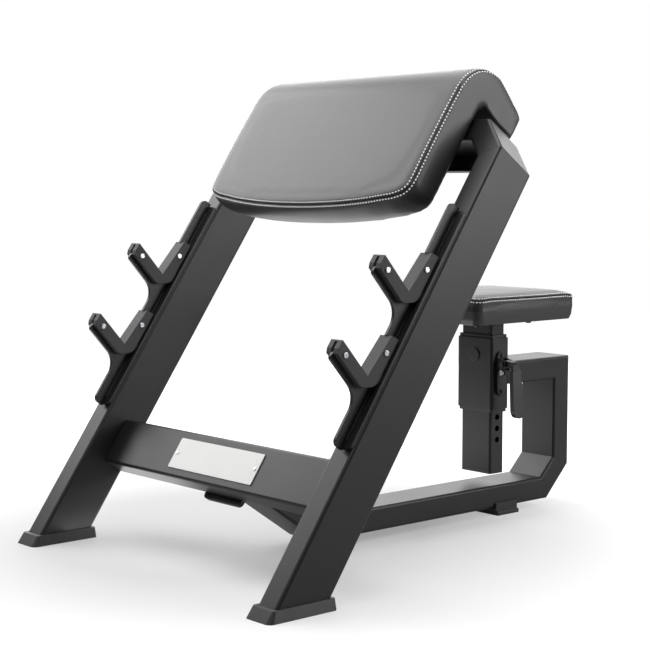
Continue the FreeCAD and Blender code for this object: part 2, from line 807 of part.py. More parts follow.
def make_seat():
    plate = new_body("seat_plate", SEATED)
    outline = rounded(s.seat_plate_wide, s.seat_plate_long, s.seat_plate_round)
    low = (0, 0, plate_low)
    hole = s.seat_bolt / 2 + s.pin_gap
    pad(plate, draw(plate, "XY_Plane", outline, low), s.seat_plate_thick)
    pocket(plate, draw_circles(plate, "XY_Plane", seat_holes(), hole, low), s.seat_plate_thick, reverse=True)
    board = new_body("seat_board", SEATED)
    wide = s.seat_wide - 2 * s.seat_board_inset
    long = s.seat_long - 2 * s.seat_board_inset
    bed = (0, 0, s.seat_low)
    corner = s.seat_corner
    thick = s.seat_board_thick
    pad(board, draw(board, "XY_Plane", rounded(wide, long, corner, 0.0, s.seat_shift), bed), thick)
    pocket(board, draw_circles(board, "XY_Plane", seat_holes(), hole, bed), thick, reverse=True)
    bolt_long = s.seat_plate_thick + thick - s.pin_gap
    bolt = headed(s.seat_bolt, bolt_long, 1.6 * s.seat_bolt, 0.6 * s.seat_bolt, dome=True)
    places = [
        Placement(Vector(hx.value, (sleeve_y + hy).value, plate_low.value), Rotation(Vector(1, 0, 0), 180))
        for hx, hy in seat_holes()
    ]
    group("seat_bolts", bolt, places)
    cushion = new_body("seat_pad", SEATED)
    tall = s.seat_side + s.seat_crown
    # Height above the underside, and inset, of each level: drawn in at the underside and crowned on top
    levels = (
        (size(0), s.seat_draw), (0.2 * s.seat_side, 0.3 * s.seat_draw), (0.55 * s.seat_side, size(0)),
        (0.9 * s.seat_side, 0.2 * s.seat_draw), (s.seat_side, 0.7 * s.seat_draw),
        (s.seat_side + 0.35 * s.seat_crown, 2.0 * s.seat_draw),
        (s.seat_side + 0.7 * s.seat_crown, 5.0 * s.seat_draw),
        (s.seat_side + 0.92 * s.seat_crown, 11.0 * s.seat_draw), (tall, 19.0 * s.seat_draw),
    )
    sections = []
    for rise, inset in levels:
        radius = s.seat_corner + 0.12 * inset
        ring = rounded(s.seat_wide - 2 * inset, s.seat_long - 2 * inset, radius, 0.0, s.seat_shift)
        sections.append(draw(cushion, "XY_Plane", ring, (0, 0, s.seat_low + rise)))
    loft(cushion, sections)
    gap = 2 * s.board_fit
    bed_outline = rounded(wide + gap, long + gap, corner + s.board_fit, 0.0, s.seat_shift)
    pocket(cushion, draw(cushion, "XY_Plane", bed_outline, bed), thick + s.board_fit, reverse=True)


# Lock: the lever swings out about its pivot pin, and its fork pulls the lock pin by the clevis pin

face_x = s.sleeve_wide / 2
mount_face = face_x + s.mount_thick
pivot_x = face_x + s.pivot_out
pivot_z = s.lock_rise + s.crank
half_travel = s.pin_travel / 2
clevis_x = pivot_x - half_travel
crank_long = root(half_travel * half_travel + s.crank * s.crank)
crank_way = (-half_travel / crank_long, -s.crank / crank_long)
PIVOTED = place_text(pivot_x, sleeve_y, pivot_z)
fork_gap = s.pin_size / 2 + s.lever_gap
fork_half = fork_gap + s.fork_wall


def mount_holes():
    low = s.mount_low + s.mount_screw_inset
    return [(size(0), low), (size(0), s.mount_low + s.mount_tall - s.mount_screw_inset)]


def make_mount():
    mount = new_body("lever_mount", SEATED)
    face = (0, 0, face_x)
    middle = s.mount_low + s.mount_tall / 2
    # The ends are nearly full rounds
    base = rounded(s.mount_wide, s.mount_tall, s.mount_wide * 0.499, 0.0, middle)
    pad(mount, draw(mount, "YZ_Plane", base, face), s.mount_thick)
    foot = s.ear_round + s.fork_wall
    swell = s.ear_round * (1.0 - cos(45.0))
    ear = [
        (mount_face, pivot_z - foot + s.fork_wall), (pivot_x, pivot_z - s.ear_round, swell),
        (pivot_x + s.ear_round, pivot_z, swell), (pivot_x, pivot_z + s.ear_round),
        (mount_face, pivot_z + foot),
    ]
    pad(mount, draw(mount, "XZ_Plane", ear), s.ear_gap + 2 * s.ear_thick, symmetric=True)
    far = pivot_x + 2 * s.ear_round
    slot = [(mount_face, pivot_z - 2 * foot), (far, pivot_z - 2 * foot), (far, pivot_z + 2 * foot),
            (mount_face, pivot_z + 2 * foot)]
    pocket(mount, draw(mount, "XZ_Plane", slot), s.ear_gap, symmetric=True)
    bore = draw_circles(mount, "XZ_Plane", [(pivot_x, pivot_z)], s.pivot_pin / 2 + s.bush_fit)
    pocket(mount, bore, 2 * s.tube_wide, symmetric=True)
    guide = draw_circles(mount, "YZ_Plane", [(0, s.lock_rise)], s.pin_size / 2 + s.pin_gap, face)
    pocket(mount, guide, s.mount_thick, reverse=True)
    screws = draw_circles(mount, "YZ_Plane", mount_holes(), s.mount_screw / 2 + s.screw_fit, face)
    pocket(mount, screws, s.mount_thick, reverse=True)
    long = s.mount_thick + s.tube_wall
    screw = headed(s.mount_screw, long, 1.7 * s.mount_screw, 0.45 * s.mount_screw, dome=True)
    places = [
        Placement(Vector(mount_face.value, (sleeve_y + hy).value, hz.value), Rotation(Vector(0, 1, 0), 90))
        for hy, hz in mount_holes()
    ]
    group("mount_screws", screw, places)
    pin = new_body("pivot_pin", PIVOTED)
    pad(pin, draw_circles(pin, "XZ_Plane", [(0, 0)], s.pivot_pin / 2), s.ear_gap + 2 * s.ear_thick,
        symmetric=True)
    for way in (1.0, -1.0):
        end = way * (s.ear_gap / 2 + s.ear_thick)
        pad(pin, draw_circles(pin, "XZ_Plane", [(0, 0)], 0.75 * s.pivot_pin, (0, 0, end)),
            0.35 * s.pivot_pin, reverse=way < 0)


def make_lock_pin():
    pin = new_body("lock_pin", SEATED)
    tip = s.post_wide / 2 - s.pin_bite
    end = clevis_x + s.pin_tail
    low = s.lock_rise
    radius = s.pin_size / 2
    half = [(tip, low), (tip, low + 0.7 * radius), (tip + 0.3 * radius, low + radius), (end, low + radius),
            (end, low)]
    outline = draw(pin, "XZ_Plane", [(x, z - low) for x, z in reversed(half)])
    turned = pin.newObject("PartDesign::Revolution", "Turned")
    turned.Profile = outline
    turned.ReferenceAxis = (outline, ["H_Axis"])
    turned.Angle = 360
    pin.setExpression("Placement", place_text(0, sleeve_y, s.lock_rise))
    doc.recompute()
    bore = draw_circles(pin, "XZ_Plane", [(clevis_x, 0)], s.clevis_size / 2 + s.bush_fit)
    pocket(pin, bore, 2 * s.pin_size, symmetric=True)
    clevis = new_body("clevis_pin", place_text(clevis_x, sleeve_y, s.lock_rise))
    pad(clevis, draw_circles(clevis, "XZ_Plane", [(0, 0)], s.clevis_size / 2), 2 * fork_half + s.lever_gap,
        symmetric=True)
    for way, across in ((1.0, s.clevis_head), (-1.0, 1.7 * s.clevis_size)):
        end = way * (fork_half + s.lever_gap / 2)
        pad(clevis, draw_circles(clevis, "XZ_Plane", [(0, 0)], across / 2, (0, 0, end)), s.clevis_rise,
            reverse=way < 0)


def lever_bar(extra):
    # The lever's bar from its hub out to the knee and down, thickened by extra
    half = s.lever_thick / 2
    knee = s.lever_reach
    foot = knee + s.lever_flare
    return [
        (knee - half - extra, -s.hub_round), (foot - half - extra, -s.lever_drop),
        (foot + half + extra, -s.lever_drop), (knee + half + extra, size(0)),
    ]


def make_lever():
    lever = new_body("lever", PIVOTED)
    wide = 2 * fork_half
    pad(lever, draw_circles(lever, "XZ_Plane", [(0, 0)], s.hub_round), wide, symmetric=True)
    half = s.lever_thick / 2
    knee_in, foot_in, foot_out, knee_out = lever_bar(0.0)
    bar = [(size(0), -s.hub_round * 0.7), (knee_in[0] - half, -half), knee_in, foot_in, foot_out, knee_out,
           (s.lever_reach - half, s.hub_round * 0.7), (size(0), s.hub_round)]
    pad(lever, draw(lever, "XZ_Plane", bar), wide, symmetric=True)
    # Fork cheeks hang from the hub along the crank, slotted for the clevis pin
    wx, wz = crank_way
    out = (-wz, wx)
    long = crank_long + s.fork_tail

    def along(run, shift):
        return (wx * run + out[0] * shift, wz * run + out[1] * shift)

    across = s.fork_wide / 2
    pad(lever, draw(lever, "XZ_Plane", [along(0, -across), along(long, -across), along(long, across),
                                        along(0, across)]), wide, symmetric=True)
    slot = s.clevis_size / 2 + s.lever_gap
    start = crank_long - slot - s.lever_gap
    pocket(lever, draw(lever, "XZ_Plane", [along(start, -slot), along(2 * long, -slot), along(2 * long, slot),
                                           along(start, slot)]), 2 * wide, symmetric=True)
    # Between the cheeks the pin has room, up to a round that lets the lever swing over it
    low = -2 * long
    reach = s.fork_wide + half_travel
    clear = s.hub_round + s.lever_gap
    flank = clear * sin(45.0)
    swell = clear * (1.0 - cos(45.0))
    room = [(-reach, low), (reach, low), (reach, -flank), (flank, -flank, -swell), (-flank, -flank),
            (-reach, -flank)]
    pocket(lever, draw(lever, "XZ_Plane", room), 2 * fork_gap, symmetric=True)
    bore = draw_circles(lever, "XZ_Plane", [(0, 0)], s.pivot_pin / 2 + s.bush_fit)
    pocket(lever, bore, 2 * wide, symmetric=True)
    grip = new_body("lever_grip", PIVOTED)
    top_in, low_in, low_out, top_out = lever_bar(s.grip_wall)
    tail = -s.lever_drop - s.grip_tail
    drift = s.lever_flare * s.grip_tail / s.lever_drop
    shell = [(top_in[0], top_in[1] - half), (low_in[0] + drift, tail), (low_out[0] + drift, tail),
             (top_out[0], top_in[1] - half)]
    pad(grip, draw(grip, "XZ_Plane", shell), s.grip_wide, symmetric=True)
    # Its sides draw in towards the knee
    for way in (1.0, -1.0):
        far = way * s.grip_wide
        side = [(way * s.grip_wide / 2, tail), (far, tail), (far, size(0)), (way * s.grip_top / 2, size(0))]
        pocket(grip, draw(grip, "YZ_Plane", side), 4 * s.lever_reach, symmetric=True)
    soften(grip, s.grip_wide * FILLET_SHARE, lambda edge: edge.BoundBox.ZMax < tail.value + 0.01
           and edge.BoundBox.YLength < 0.01)
    core = lever_bar(s.grip_fit)
    deep = -s.lever_drop - s.grip_fit
    core = [core[0], (core[1][0], deep), (core[2][0], deep), core[3], (core[0][0], size(0))]
    pocket(grip, draw(grip, "XZ_Plane", core), wide + 2 * s.grip_fit, symmetric=True)


# Arm pad: a crowned cushion that wraps over the top tube, on two boards and two bent brackets

shelf_slope = (s.pad_shelf_end - s.pad_shelf) / (s.pad_rear + s.bracket_thick)


def shelf_u(behind):
    # Height of the rear wing's underside at a distance behind the legs' front faces
    return s.pad_shelf + shelf_slope * (behind + s.bracket_thick)


def pad_section(low, crown, inset):
    # Outline in the leaning frame's side view: u up from the top tube, forward square to the legs
    front = s.pad_front - inset
    edge = s.pad_edge_round
    under = s.bracket_thick
    swell = edge * (1.0 - cos(45.0))
    apex_run = s.pad_top - inset - s.pad_shoulder
    return [
        (s.pad_shelf, under), (shelf_u(s.pad_rear - inset), -(s.pad_rear - inset), s.pad_end_swell),
        (s.pad_rear_top - inset, -(s.pad_rear - inset), s.pad_end_swell),
        (s.pad_top - inset, -s.pad_apex_in, 0.285 * apex_run),
        (s.pad_shoulder, front, crown), (low + inset + edge, front, swell),
        (low + inset, front - edge, s.pad_lower_swell), (low + inset + s.pad_lower_swell, under),
    ]


def make_arm_pad():
    cushion = new_body("arm_pad", TOPPED)
    half = s.pad_wide / 2
    # Distance in from each end, rise of the lower edge and inset: the ends are drawn in, the lower corners
    # round
    climb = s.pad_low_end - s.pad_low
    ends = [
        (along * s.pad_end_swell, rise * climb, inset * s.pad_end_swell)
        for along, rise, inset in (
            (0.0, 1.0, 1.0), (0.6, 0.82, 0.45), (2.0, 0.62, 0.1), (5.0, 0.43, 0.0), (10.0, 0.29, 0.0),
            (22.0, 0.13, 0.0), (38.0, 0.03, 0.0), (52.0, 0.0, 0.0),
        )
    ]
    stations = [(along - half, rise, inset) for along, rise, inset in ends]
    stations += [(half - along, rise, inset) for along, rise, inset in reversed(ends)]
    sections = []
    for x, rise, inset in stations:
        outline = pad_section(s.pad_low + rise, s.pad_front_crown, inset)
        sections.append(draw(cushion, "YZ_Plane", outline, (0, 0, x)))
    loft(cushion, sections)
    fit = s.board_fit
    for board in (front_board_outline(fit), rear_board_outline(fit)):
        pocket(cushion, draw(cushion, "YZ_Plane", board), 2 * (s.board_half + fit), symmetric=True)


def front_board_outline(fit):
    low = s.board_low - fit
    high = s.board_top + fit
    face = s.bracket_thick
    return [(low, face), (high, face), (high, face + s.board_thick + fit), (low, face + s.board_thick + fit)]


def rear_board_outline(fit):
    near = s.board_start - fit
    far = s.board_end + fit
    thick = s.board_thick + fit
    return [(shelf_u(far), -far), (shelf_u(far) + thick, -far), (shelf_u(near) + thick, -near),
            (shelf_u(near), -near)]


def make_pad_boards():
    hole = s.pad_bolt / 2 + s.pin_gap
    board = new_body("front_board", TOPPED)
    pad(board, draw(board, "YZ_Plane", front_board_outline(0.0)), 2 * s.board_half, symmetric=True)
    holes = draw_circles(board, "XY_Plane", pad_bolt_spots(), hole, (0, 0, s.bracket_thick))
    pocket(board, holes, s.board_thick, reverse=True)
    board = new_body("rear_board", TOPPED)
    pad(board, draw(board, "YZ_Plane", rear_board_outline(0.0)), 2 * s.board_half, symmetric=True)


def pad_bolt_spots():
    return [(side * s.bracket_x, u) for _, side in SIDES for u in (s.pad_bolt_low, s.pad_bolt_high)]


def make_pad_brackets():
    thick = s.bracket_thick
    outline = [
        (s.bracket_low, size(0)), (shelf_u(size(0)) - thick, size(0)),
        (shelf_u(s.bracket_end) - thick, -s.bracket_end), (shelf_u(s.bracket_end), -s.bracket_end),
        (s.pad_shelf, thick), (s.bracket_low, thick),
    ]
    hole = s.pad_bolt / 2 + s.pin_gap
    for name, side in SIDES:
        bracket = new_body(f"{name}_pad_bracket", TOPPED)
        middle = side * s.bracket_x
        start = (0, 0, middle - s.bracket_wide / 2)
        pad(bracket, draw(bracket, "YZ_Plane", list(reversed(outline)), start), s.bracket_wide)
        spots = [spot for spot in pad_bolt_spots() if spot[0].value * side > 0]
        pocket(bracket, draw_circles(bracket, "XY_Plane", spots, hole), thick, reverse=True)
    long = thick + s.board_thick - s.pin_gap
    bolt = headed(s.pad_bolt, long, 1.6 * s.pad_bolt, 0.6 * s.pad_bolt, dome=True)
    group("pad_bolts", bolt, [lean_place(x, top_u + u, 0, 180.0) for x, u in pad_bolt_spots()])


# Bar racks: a flat bar on each leg, a fork plate square to it and a plastic liner in each cup

cup_cos = cos(s.cup_angle)
cup_sin = sin(s.cup_angle)


def cup_point(run, depth, side):
    # A point of a cup's arm: run up its face from the bottom of the cup, depth square into it
    return (side * (cup_sin * run + cup_cos * depth), cup_cos * run - cup_sin * depth)


def cup_corner(depth):
    return (size(0), -depth / cup_sin)


def fork_places():
    return (("upper", s.fork_rise), ("lower", s.fork_rise - s.fork_pitch))


def screw_spots():
    rear = cup_point(s.rear_screw_along, s.rear_screw_depth, 1.0)
    return [cup_point(s.screw_along, s.screw_depth, -1.0), rear]


def make_rack(name, side):
    middle = side * leg_x
    bar = new_body(f"{name}_rack_base", LEANING)
    tall = s.rack_high - s.rack_low - 2 * s.rack_end
    face = rounded(s.rack_base_wide, tall, s.rack_base_thick, middle, (s.rack_low + s.rack_high) / 2)
    pad(bar, draw(bar, "XY_Plane", face), s.rack_base_thick)
    plate = new_body(f"{name}_rack_plate", LEANING)
    low = s.rack_low
    high = s.rack_high
    base = s.rack_base_thick
    swell = s.rack_round * (1.0 - cos(45.0))
    strip = [
        (low, base), (high, base), (high, s.rack_strip - s.rack_round, swell),
        (high - s.rack_round, s.rack_strip), (low + s.rack_round, s.rack_strip, swell),
        (low, s.rack_strip - s.rack_round),
    ]
    pad(plate, draw(plate, "YZ_Plane", strip, (0, 0, middle)), s.rack_plate_thick, symmetric=True)
    tip = s.fork_tip_round
    bend = tip * (1.0 - cos(45.0))
    arm = [
        cup_point(s.fork_reach, size(0), -1.0), cup_point(s.fork_reach, s.fork_depth - tip, -1.0) + (bend,),
        cup_point(s.fork_reach - tip, s.fork_depth, -1.0), cup_point(-0.6 * s.fork_depth, s.fork_depth, -1.0),
        cup_point(size(0), s.fork_depth / 2, 1.0), cup_corner(size(0)),
    ]
    notch_tall = s.liner_tall + s.liner_fit
    notch_half = notch_tall * tan(s.cup_angle) + s.liner_web / cup_cos
    notch = [cup_corner(s.liner_web), (notch_half, notch_tall), (-notch_half, notch_tall)]
    for _, rise in fork_places():
        spot = (rise, s.fork_out, middle)
        pad(plate, draw(plate, "YZ_Plane", arm, spot, -s.lean), s.rack_plate_thick, symmetric=True)
    strip_front = s.rack_strip.value

    def inner_corner(edge):
        spot = edge.CenterOfMass
        if edge.BoundBox.XLength < s.rack_plate_thick.value * 0.9 or abs(spot.z - strip_front) > 0.01:
            return False
        drops = [rise.value - spot.y for _, rise in fork_places()]
        return any(s.liner_web.value < drop < s.fork_pitch.value / 2 for drop in drops)

    soften(plate, s.fork_fillet, inner_corner)
    for _, rise in fork_places():
        spot = (rise, s.fork_out, middle)
        pocket(plate, draw(plate, "YZ_Plane", notch, spot, -s.lean), 2 * s.tube_deep, symmetric=True)
        holes = draw_circles(plate, "YZ_Plane", screw_spots(), s.screw_size / 2 + s.screw_fit, spot, -s.lean)
        pocket(plate, holes, 2 * s.tube_deep, symmetric=True)
    for level, rise in fork_places():
        make_liner(f"{name}_{level}_cup_liner", middle, rise)


def make_liner(label, middle, rise):
    y, z = side_view(rise, -s.fork_out)
    liner = new_body(label, place_text(middle, front_y + y, z))
    # The rear arm is trimmed along the rack's flat bar
    trim = s.fork_out - s.rack_base_thick - s.liner_rear_gap
    depth = s.liner_depth
    front_foot = cup_point(0.35 * depth, depth, -1.0)

    def rear_edge(height):
        return ((height * lean_cos + trim) / lean_sin, height)

    run = s.liner_tall / cup_cos
    outline = [
        (size(0), size(0)), cup_point(run, size(0), 1.0),
        rear_edge(s.liner_tall - s.liner_nose / 2), rear_edge(size(0)) + (-0.38 * s.liner_keel,),
        (size(0), -s.liner_keel, -0.22 * s.liner_keel), front_foot,
        cup_point(run - s.liner_shoulder, depth, -1.0), cup_point(run - s.liner_bevel, s.liner_nose, -1.0),
        cup_point(run, size(0), -1.0),
    ]
    outline = list(reversed_outline(outline))
    pad(liner, draw(liner, "YZ_Plane", outline), s.liner_thick, symmetric=True)
    web = s.liner_web - s.liner_fit
    far = 3 * s.liner_tall
    slot = [
        cup_corner(web), cup_point(far, web, 1.0), cup_point(far, far, 1.0), cup_corner(far),
        cup_point(far, far, -1.0), cup_point(far, web, -1.0),
    ]
    pocket(liner, draw(liner, "YZ_Plane", slot), s.rack_plate_thick + 2 * s.liner_fit, symmetric=True)
    holes = draw_circles(liner, "YZ_Plane", screw_spots(), s.screw_size / 2 + s.screw_fit)
    pocket(liner, holes, 2 * s.liner_thick, symmetric=True)


def reversed_outline(points):
    # The same outline run the other way round, with each arc's swell on the edge it belongs to
    count = len(points)
    for number in range(count):
        point = points[-number]
        before = points[(-number - 1) % count]
        yield point[:2] + ((-size(before[2]),) if len(before) == 3 else ())


def make_liner_screws():
    half = s.liner_thick / 2
    screw = headed(s.screw_size, s.liner_thick + s.screw_rise, s.screw_head, s.screw_rise, dome=True)
    nut = hexagon(1.6 * s.screw_size, s.screw_rise, s.screw_size + s.screw_fit)
    heads = []
    nuts = []
    for _, side in SIDES:
        for _, rise in fork_places():
            y, z = side_view(rise, -s.fork_out)
            for spot in screw_spots():
                centre = Vector(0, (front_y + y + spot[0]).value, (z + spot[1]).value)
                turn = Rotation(Vector(0, 1, 0), 90)
                heads.append(Placement(centre + Vector((side * leg_x + half).value, 0, 0), turn))
                nut_x = (side * leg_x - half - s.screw_rise).value
                nuts.append(Placement(centre + Vector(nut_x, 0, 0), turn))
    group("liner_screws", screw, heads)
    group("liner_nuts", nut, nuts)


# The whole bench

for side_name, side_sign in SIDES:
    make_leg(side_name, side_sign)
    make_corner(side_name, side_sign)
    make_boot(side_name, side_sign)
    make_rack(side_name, side_sign)
make_liner_screws()
make_top_tube()
make_top_gusset()
make_crossbar()
make_badge()
make_flange()
make_spine()
make_rear_foot()
make_sleeve()
make_bush("upper_bush", sleeve_top - s.bush_seat)
make_bush("lower_bush", s.sleeve_low - s.bush_proud)
make_post()
make_seat()
make_mount()
make_lock_pin()
make_lever()
make_pad_brackets()
make_pad_boards()
make_arm_pad()
doc.recompute()

faults = [item.Label for item in doc.Objects if "Invalid" in item.State or "Error" in item.State]
for item in subparts:
    if item.Shape.isNull() or not item.Shape.isValid() or item.Shape.Volume <= 0:
        faults.append(item.Label)
if faults:
    raise RuntimeError(f"failed: {sorted(set(faults))}")

os.makedirs("parts", exist_ok=True)
for item in subparts:
    item.Shape.exportStep(f"parts/{item.Label}.step")
box = FreeCAD.BoundBox()
for item in subparts:
    box.add(item.Shape.BoundBox)
print(f"{len(subparts)} sub-parts, {box.XLength:.1f} x {box.YLength:.1f} x {box.ZLength:.1f} mm")
print(f"box from {box.XMin:.2f} {box.YMin:.2f} {box.ZMin:.2f}")
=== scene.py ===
# %% [markdown]
# # A preacher curl bench
#
# This lesson dresses the CAD model of a gym's preacher curl bench: a leaning tube frame with bar racks, a
# big sewn arm pad over its top and a sewn seat on a sliding post. The metal keeps its CAD shapes and gets
# its real finishes. The two cushions are blown up from their CAD solids, as foam is under its cover, and
# then get their seams and stitching.

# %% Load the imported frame
import json
import math
import bpy
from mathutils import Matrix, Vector
from mathutils.bvhtree import BVHTree
from mathutils.kdtree import KDTree


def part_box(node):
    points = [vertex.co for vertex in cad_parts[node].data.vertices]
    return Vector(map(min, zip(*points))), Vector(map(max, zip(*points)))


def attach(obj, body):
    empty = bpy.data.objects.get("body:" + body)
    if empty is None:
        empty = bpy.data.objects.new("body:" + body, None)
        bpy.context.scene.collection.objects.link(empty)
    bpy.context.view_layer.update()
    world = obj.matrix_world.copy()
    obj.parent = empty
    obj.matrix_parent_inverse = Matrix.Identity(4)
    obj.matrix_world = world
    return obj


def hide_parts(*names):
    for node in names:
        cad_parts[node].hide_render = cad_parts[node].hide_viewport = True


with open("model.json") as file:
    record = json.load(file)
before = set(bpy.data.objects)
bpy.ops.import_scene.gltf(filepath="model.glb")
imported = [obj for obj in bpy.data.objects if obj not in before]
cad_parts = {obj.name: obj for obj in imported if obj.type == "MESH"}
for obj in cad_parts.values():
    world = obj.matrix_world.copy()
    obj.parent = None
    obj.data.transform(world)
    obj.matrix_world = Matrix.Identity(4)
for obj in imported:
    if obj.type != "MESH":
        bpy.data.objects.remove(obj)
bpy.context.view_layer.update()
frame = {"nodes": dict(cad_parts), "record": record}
nodes = frame["nodes"]
MM = 0.001

# %% [markdown]
# The legs lean back, and most of the front end is square to them. A point there is easier to name by x, by
# its height up the legs and by its distance forward of their front faces, so one helper turns those three
# into a place in the room.

# %% Leaning frame
LEAN = math.radians(55.35)
UP_LEG = Vector((0.0, math.cos(LEAN), math.sin(LEAN)))
FORWARD = Vector((0.0, -math.sin(LEAN), math.cos(LEAN)))
ACROSS = Vector((1.0, 0.0, 0.0))
leg_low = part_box("left_leg")[0]
LEG_FOOT = Vector((0.0, leg_low.y - leg_low.z / math.tan(LEAN), 0.0))


def on_frame(x, up, forward):
    return LEG_FOOT + ACROSS * x * MM + UP_LEG * up * MM + FORWARD * forward * MM


print("the legs' front faces meet the floor at y =", round(LEG_FOOT.y, 4))

# %% [markdown]
# Colours are picked as sRGB hex values, the way a colour picker shows them, and the shader wants linear
# light, so one function converts them. A second one adds a node, sets it and links it, because every
# material below is a short chain of such nodes on one Principled shader.

# %% Material helpers
def linear(hex_text):
    parts = [int(hex_text[i:i + 2], 16) / 255.0 for i in (1, 3, 5)]
    parts = [p / 12.92 if p <= 0.04045 else ((p + 0.055) / 1.055) ** 2.4 for p in parts]
    return (*parts, 1.0)


def add_node(material, kind, settings=None, links=None):
    node = material.node_tree.nodes.new(kind)
    for name, value in (settings or {}).items():
        if name in node.inputs:
            node.inputs[name].default_value = value
        else:
            setattr(node, name, value)
    for name, (source, output) in (links or {}).items():
        material.node_tree.links.new(source.outputs[output], node.inputs[name])
    return node


def new_material(name, settings):
    material = bpy.data.materials.new(name)
    material.use_nodes = True
    shader = material.node_tree.nodes["Principled BSDF"]
    for socket, value in settings.items():
        shader.inputs[socket].default_value = value
    coordinates = add_node(material, "ShaderNodeTexCoord")
    return material, shader, coordinates


def connect(material, source, output, shader, socket):
    material.node_tree.links.new(source.outputs[output], shader.inputs[socket])


def mottled(material, shader, coordinates, cell_mm, dark, light, smooth, rough):
    # Slow drift of tone and gloss, cell_mm across, as real coats and mouldings have
    cloud = add_node(material, "ShaderNodeTexNoise", {"Scale": 1.0 / (cell_mm * MM), "Detail": 3.0},
                     {"Vector": (coordinates, "Object")})
    tone = add_node(material, "ShaderNodeValToRGB", None, {"Fac": (cloud, "Fac")})
    tone.color_ramp.elements[0].color = linear(dark)
    tone.color_ramp.elements[1].color = linear(light)
    connect(material, tone, "Color", shader, "Base Color")
    gloss = add_node(material, "ShaderNodeMapRange", {"To Min": smooth, "To Max": rough},
                     {"Value": (cloud, "Fac")})
    connect(material, gloss, "Result", shader, "Roughness")

# %% [markdown]
# The frame is sprayed with charcoal powder and baked. The powder melts into a satin skin that is not quite
# flat: at arm's length it has the fine dimple that painters call orange peel, about a millimetre across.
# The coat also rounds every edge, which a Bevel node gives to the sharp CAD edges, so that they catch a
# thin line of light.

# %% Powder coat
def pitted(material, shader, coordinates, cell_mm, depth_mm, edge_mm):
    # Small dimples, cell_mm across, on a surface whose edges are rounded by edge_mm
    edges = add_node(material, "ShaderNodeBevel", {"Radius": edge_mm * MM, "samples": 6})
    peel = add_node(material, "ShaderNodeTexNoise", {"Scale": 1.0 / (cell_mm * MM), "Detail": 2.0},
                    {"Vector": (coordinates, "Object")})
    bump = add_node(material, "ShaderNodeBump", {"Distance": depth_mm * MM},
                    {"Height": (peel, "Fac"), "Normal": (edges, "Normal")})
    connect(material, bump, "Normal", shader, "Normal")


powder, shader, coordinates = new_material("satin charcoal powder coat on steel", {"IOR": 1.5})
mottled(powder, shader, coordinates,
        cell_mm=90.0, dark="#1b1b1c", light="#202021", smooth=0.36, rough=0.44)
pitted(powder, shader, coordinates, cell_mm=1.4, depth_mm=0.05, edge_mm=1.2)
print("made", powder.name)

# %% [markdown]
# Rubber feet, black plastic bushes and the dark grey bar liners are all mouldings. They are told apart by
# their gloss: rubber is dull and dusty, the bushes are smooth nylon, and the liners are tough polyurethane
# with the faint texture of a spark-eroded mould.

# %% Rubber and plastics
rubber, shader, coordinates = new_material("moulded black rubber", {"IOR": 1.52})
mottled(rubber, shader, coordinates,
        cell_mm=25.0, dark="#2b2b2d", light="#353537", smooth=0.42, rough=0.56)
pitted(rubber, shader, coordinates, cell_mm=0.8, depth_mm=0.06, edge_mm=1.5)

nylon, shader, coordinates = new_material("injection-moulded black nylon", {"IOR": 1.53})
mottled(nylon, shader, coordinates,
        cell_mm=30.0, dark="#1d1d1f", light="#262628", smooth=0.3, rough=0.42)
pitted(nylon, shader, coordinates, cell_mm=0.7, depth_mm=0.03, edge_mm=1.0)

liner, shader, coordinates = new_material("cast dark grey polyurethane", {"IOR": 1.4})
mottled(liner, shader, coordinates,
        cell_mm=30.0, dark="#444446", light="#4e4e50", smooth=0.55, rough=0.7)
pitted(liner, shader, coordinates, cell_mm=0.9, depth_mm=0.05, edge_mm=2.0)
print("made", rubber.name, "and", nylon.name, "and", liner.name)

# %% [markdown]
# Screws and pins are steel. Most are zinc plated: a bright grey metal, a little cloudy from the bath. The
# bolts that hold the frame are chemically blackened, a darker metal with an oily sheen. The badge plate is
# sheet steel under a white enamel.

# %% Metals and enamel
zinc, shader, coordinates = new_material("bright zinc-plated steel", {"Metallic": 1.0})
mottled(zinc, shader, coordinates,
        cell_mm=6.0, dark="#b9babd", light="#d2d3d5", smooth=0.2, rough=0.34)
pitted(zinc, shader, coordinates, cell_mm=0.6, depth_mm=0.01, edge_mm=0.5)

oxide, shader, coordinates = new_material("black oxide steel", {"Metallic": 0.9})
mottled(oxide, shader, coordinates,
        cell_mm=8.0, dark="#3a3a3c", light="#48484b", smooth=0.32, rough=0.46)
pitted(oxide, shader, coordinates, cell_mm=0.6, depth_mm=0.01, edge_mm=0.5)

enamel, shader, coordinates = new_material("white stove enamel on sheet steel", {"IOR": 1.5})
mottled(enamel, shader, coordinates,
        cell_mm=60.0, dark="#e2e2e0", light="#e9e9e7", smooth=0.3, rough=0.38)
pitted(enamel, shader, coordinates, cell_mm=2.0, depth_mm=0.02, edge_mm=0.5)
print("made", zinc.name, "and", oxide.name, "and", enamel.name)

# %% [markdown]
# The boards inside the cushions are birch plywood, thin veneers glued across each other. They are under the
# covers, so a simple grain with the plies as stripes is enough.

# %% Plywood
PLY = 6.0 * MM
plywood, shader, coordinates = new_material("sanded birch plywood", {"Roughness": 0.6})
plies = add_node(plywood, "ShaderNodeTexWave", {"Scale": 1.0 / PLY, "Distortion": 2.0},
                 {"Vector": (coordinates, "Object")})
ramp = add_node(plywood, "ShaderNodeValToRGB", None, {"Fac": (plies, "Fac")})
ramp.color_ramp.elements[0].color = linear("#b08d5e")
ramp.color_ramp.elements[1].color = linear("#d2b383")
connect(plywood, ramp, "Color", shader, "Base Color")
print("made", plywood.name)

# %% [markdown]
# The covers are leatherette: woven cloth with a skin of soft polyurethane, embossed with a fine leather
# grain. The skin is satin, so a cushion's curve shows as one broad soft light, and the grain breaks that
# light up a little. Voronoi cells stand for the pebbles of the grain, and a slower noise for the places
# where the cover is not pulled quite flat.

